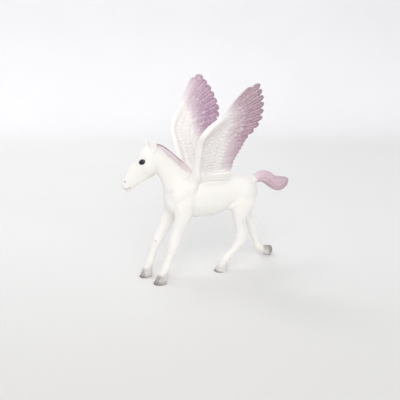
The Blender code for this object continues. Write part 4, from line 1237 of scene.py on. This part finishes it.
def body_material():
    paint = Paint("painted_white_plastic")
    relief = paint.field("relief")
    fine = paint.noise(700)
    ragged = paint.scaled(paint.noise(420), 0.5, -0.25)
    # Ridges show a little lighter.
    colour = paint.tint(white_plastic(paint, 0.55), ((250, 249, 246), relief, 0.6, 1.8, 0.5))
    colour = mane_paint(paint, colour, relief, fine, ragged)
    colour = hoof_paint(paint, colour, relief, fine, ragged)
    # Nostrils, lips, the pit in the far knee, and painted shade behind the jaw.
    for side in (-1, 1):
        spot = head_point(NOSTRIL[0], side * NOSTRIL[1], NOSTRIL[2])
        nostril = paint.within(spot, (0.50, 1.4, 0.85), (0, -0.35, 0), 0.4)
        colour = paint.mix(paint.times(nostril, 0.42), colour, (150, 138, 132))
    colour = paint.tint(colour, ((140, 126, 118), paint.field("lips"), 0.48, 0.1, 0.62))
    pit = paint.within(KNEE_PIT, (0.55, 1, 0.50), (0, 0, 0), 0.4)
    colour = paint.mix(paint.times(pit, 0.36), colour, (150, 132, 120))
    # Painted shade behind the jaw.
    for side in (-1, 1):
        painted_jaw_shade = paint.within((-28.2, side * 2.4, 61.6), (2.2, 1.6, 1.5), (0, -0.5, 0), 0.7)
        colour = paint.mix(paint.times(painted_jaw_shade, 0.22), colour, (196, 190, 184))
    # Glossy painted eyes.
    eyes = 0
    for side in (-1, 1):
        spot = head_point(EYE[0], side * EYE[1], EYE[2])
        size = (EYE_HALF[0], 2.4, EYE_HALF[1])
        eyes = paint.plus(paint.within(spot, size, (0, -EYE_SLOPE, -HEAD_TURN), 0.03), eyes)
    colour = paint.mix(eyes, colour, (24, 24, 23))
    rough = paint.scaled(eyes, -0.30, paint.ramp(paint.noise(260, 3), 0.3, 0.7, 0.52, 0.42))
    grain = paint.scaled(paint.noise(2600), 0.35)
    height = paint.scaled(paint.noise(900, 4, (1, 1, 0.25)), 0.25, grain)
    height = paint.times(height, paint.scaled(eyes, -1, 1))
    paint.shader.inputs["Subsurface Weight"].default_value = 0.12
    paint.shader.inputs["Subsurface Radius"].default_value = (0.0012, 0.0010, 0.0008)
    paint.shader.inputs["Subsurface Scale"].default_value = 1
    return paint.finish(colour, rough, height, 0.00012)


def wing_material():
    paint = Paint("sprayed_feather_plastic")
    base = paint.mix(0.62, white_plastic(paint, 0.08), (253, 251, 248))
    # Painted shade along the crease behind the arm.
    base = paint.mix(paint.times(paint.field("painted_arm_shade"), 0.42), base, (208, 190, 191))
    rise, relief, along, outer, kind, edge = [
        paint.field(name) for name in ("rise", "relief", "along", "outer", "kind", "edge")]
    streak = paint.noise(520, 3)
    # Outside of the wing: pink low down, mauve, then brown at the top.
    sprayed = paint.tint(
        (194, 168, 178), ((182, 150, 167), rise, 0.1, 0.32), ((178, 147, 162), rise, 0.34, 0.62),
        ((181, 155, 161), rise, 0.72, 0.94))
    inner = paint.tint((173, 137, 166), ((182, 148, 171), rise, 0.5, 0.92))
    sprayed = paint.mix(outer, inner, sprayed)
    tone = paint.scaled(paint.field("tone"), 0.5, 0.5)
    sprayed = paint.mix(paint.times(tone, 0.16), sprayed, (218, 188, 204))
    sprayed = paint.tint(sprayed, ((206, 172, 190), streak, 0.45, 0.75, 0.3))
    cover = paint.plus(paint.field("paint"), paint.scaled(streak, 0.24, -0.12))
    strength = paint.math("MINIMUM", paint.math("MAXIMUM", cover, 0), 1)
    # A thin coat is pinker and hides more than its share.
    bare = paint.math("POWER", paint.scaled(strength, -1, 1), 1.7)
    sprayed = paint.mix(strength, (206, 173, 192), sprayed)
    colour = paint.mix(bare, sprayed, base)
    # A pale shaft down each feather, lighter raised edges, dark grooves between them.
    feathered = paint.ramp(rise, 0.085, 0.125)
    flight = paint.times(paint.ramp(kind, 5.5, 4.5), feathered)
    offset = paint.math("ABSOLUTE", paint.field("across"))
    shaft = paint.times(
        paint.ramp(offset, 0.42, 0.10), flight, paint.ramp(paint.noise(1100), 0.30, 0.55, 1, 0.35))
    colour = paint.mix(paint.times(shaft, 0.55), colour, (236, 220, 229))
    ridge_colour = paint.mix(strength, (248, 244, 243), (228, 208, 218))
    colour = paint.tint(colour, (ridge_colour, relief, 0.25, 1.1, 0.6))
    dark = paint.mix(paint.times(strength, 0.9), (226, 217, 213), (142, 112, 128))
    calm = paint.times(paint.scaled(outer, -1, 1), bare)
    loud = paint.times(paint.scaled(calm, -0.55, 1), paint.scaled(feathered, 0.55, 0.45))
    groove = paint.times(
        paint.ramp(relief, -0.25, -1.2, 0.50), paint.scaled(strength, 0.52, 0.48), loud)
    colour = paint.mix(groove, colour, dark)
    # Rubbed and dark specks in the coat.
    spots = paint.noise(1000)
    for speck, *limits in (
            ((232, 214, 221), 0.57, 0.65, 0.55), ((146, 116, 124), 0.43, 0.35, 0.46)):
        share = paint.times(paint.ramp(spots, *limits), strength)
        colour = paint.mix(share, colour, speck)
    # Brushed tips of the flight feathers; painted shadow behind the ends of the coverts and a
    # painted highlight on their pale ends.
    tips = paint.times(paint.ramp(along, 0.88, 0.99), strength, paint.ramp(kind, 1.6, 0.4), 0.5)
    colour = paint.mix(tips, colour, (150, 122, 136))
    covert = paint.ramp(kind, 1.4, 1.6)
    low_down = paint.times(paint.ramp(rise, 0.68, 0.50, 1, 0.35), feathered)
    # Painted shadow just behind the end of each covert.
    behind = paint.times(
        paint.ramp(along, 0.62, 0.76), paint.ramp(along, 0.90, 0.80), covert,
        paint.ramp(edge, 0.35, 0.85), low_down, 0.42)
    colour = paint.mix(behind, colour, (202, 182, 188))
    # Painted highlight on the end of each covert.
    ends = paint.times(paint.ramp(along, 0.84, 0.95), covert, flight, low_down, 0.50)
    colour = paint.mix(ends, colour, (248, 241, 242))
    # Barbs run outward from the shaft of each feather.
    slant = paint.scaled(offset, -1.1, paint.times(along, 26))
    barbs = paint.times(paint.math("SINE", paint.times(slant, 2 * math.pi / 0.62)), flight)
    colour = paint.tint(colour, (dark, barbs, 0.2, -1, 0.12))
    height = paint.scaled(barbs, 0.30, paint.times(paint.noise(2600), 0.3))
    height = paint.times(paint.plus(height, paint.ramp(edge, 0.86, 0.98, 0.4)), loud)
    rough = paint.ramp(paint.noise(300, 3), 0.3, 0.7, 0.54, 0.42)
    return paint.finish(colour, rough, height, 0.00014)


def tail_material():
    paint = Paint("mauve_hair_plastic")
    relief, along, rise = [paint.field(name) for name in ("relief", "along", "rise")]
    streak = paint.noise(420, 3, (0.35, 1, 1))
    root = paint.plus(along, paint.scaled(streak, 0.06, -0.03))
    colour = paint.tint(
        (204, 176, 188), ((216, 191, 201), streak, 0.35, 0.7),
        ((228, 210, 218), along, 0.46, 0.14, 0.7), ((190, 166, 174), along, 0.55, 0.95, 0.6),
        ((168, 138, 151), rise, -0.35, -1, 0.6), ((232, 214, 222), relief, 0.3, 1.4, 0.45),
        ((152, 122, 137), relief, -0.1, -1.2, 0.65), ((240, 236, 233), root, 0.125, 0.085))
    # Painted shade under the root of the tail, where it meets the rump.
    painted_root_shade = paint.times(paint.ramp(rise, -0.45, -0.85), paint.ramp(root, 0.14, 0.11), 0.6)
    colour = paint.mix(painted_root_shade, colour, (160, 150, 148))
    hair = paint.math("SINE", paint.scaled(paint.field("around"), 46, paint.times(along, 9)))
    height = paint.scaled(hair, 0.22, paint.times(paint.noise(2400), 0.3))
    rough = paint.ramp(paint.noise(300, 3), 0.3, 0.7, 0.52, 0.40)
    return paint.finish(colour, rough, height, 0.00012)


def studio(ahead, right, height):
    """A place in the studio, as the camera looks at it."""
    return AHEAD * ahead + RIGHTWARD * right + Z * height


def paper_material():
    paint = Paint("pale_paper_with_painted_shading")
    reach = paint.reach(AHEAD)
    # Painted light and shade: the paper is darker towards the camera and to the right, and lighter
    # up the wall.
    paper_with_painted_shading = paint.tint(
        (237, 237, 236), ((221, 220, 218), reach, 0.06, -0.17),
        ((212, 212, 211), paint.reach(RIGHTWARD), -0.04, 0.12, 0.2),
        ((243, 243, 245), reach, 0.34, 0.52), ((226, 225, 226), paint.noise(14, 3), 0.3, 0.7, 0.1))
    paint.shader.inputs["Specular IOR Level"].default_value = 0.2
    rough = paint.ramp(paint.noise(60), 0.3, 0.7, 0.9, 0.75)
    return paint.finish(paper_with_painted_shading, rough, paint.noise(900), 0.00002)


def make_stage():
    """A pale sweep: level floor, then a soft bend up to a wall."""
    rows = [(-SWEEP_SIDE, 0), (-1, 0), (0, 0), (SWEEP_BEND, 0)]
    for step in range(1, 13):
        angle = math.pi / 2 * step / 12
        rows.append((
            SWEEP_BEND + SWEEP_RADIUS * math.sin(angle), SWEEP_RADIUS * (1 - math.cos(angle))))
    rows.append((SWEEP_BEND + SWEEP_RADIUS, SWEEP_TOP))
    points = [
        tuple(studio(reach, side, height))
        for side in (-SWEEP_SIDE, SWEEP_SIDE) for reach, height in rows]
    count = len(rows)
    mesh = bpy.data.meshes.new("studio_sweep")
    mesh.from_pydata(
        points, [], [(i, i + 1, count + i + 1, count + i) for i in range(count - 1)])
    mesh.shade_smooth()
    mesh.materials.append(paper_material())
    sweep = add_object("studio_sweep", mesh)


def make_lights():
    for name, (spot, aim, size, power, colour) in LAMPS.items():
        lamp = add_object(name, bpy.data.lights.new(name, "AREA"))
        lamp.data.shape = "DISK"
        lamp.data.size = size
        lamp.data.energy = power
        lamp.data.color = colour
        lamp.location = studio(*spot)
        point_at(lamp, Vector(studio(*aim)) - lamp.location)


def make_world():
    """Soft light all round, and a pale backdrop where it is seen directly."""
    world = bpy.data.worlds.new("studio")
    bpy.context.scene.world = world
    world.use_nodes = True
    nodes = Nodes(world.node_tree)
    soft = nodes.tree.nodes["Background"]
    soft.inputs["Color"].default_value = SKY_COLOUR
    soft.inputs["Strength"].default_value = SKY_STRENGTH
    seen = nodes.node("Background", linear(248, 250, 251), 1)
    rays = nodes.node("LightPath").outputs
    direct = nodes.math("MAXIMUM", rays["Is Camera Ray"], rays["Is Glossy Ray"])
    direct = nodes.math("MAXIMUM", direct, rays["Is Transmission Ray"])
    mix = nodes.node("MixShader", direct, soft.outputs[0], seen.outputs[0])
    nodes.link(mix.outputs[0], nodes.tree.nodes["World Output"].inputs["Surface"])


make_camera()
build_body(body_material())
build_wings(wing_material())
build_tail(tail_material())
make_stage()
make_lights()
make_world()
bpy.context.scene.view_settings.view_transform = "Standard"
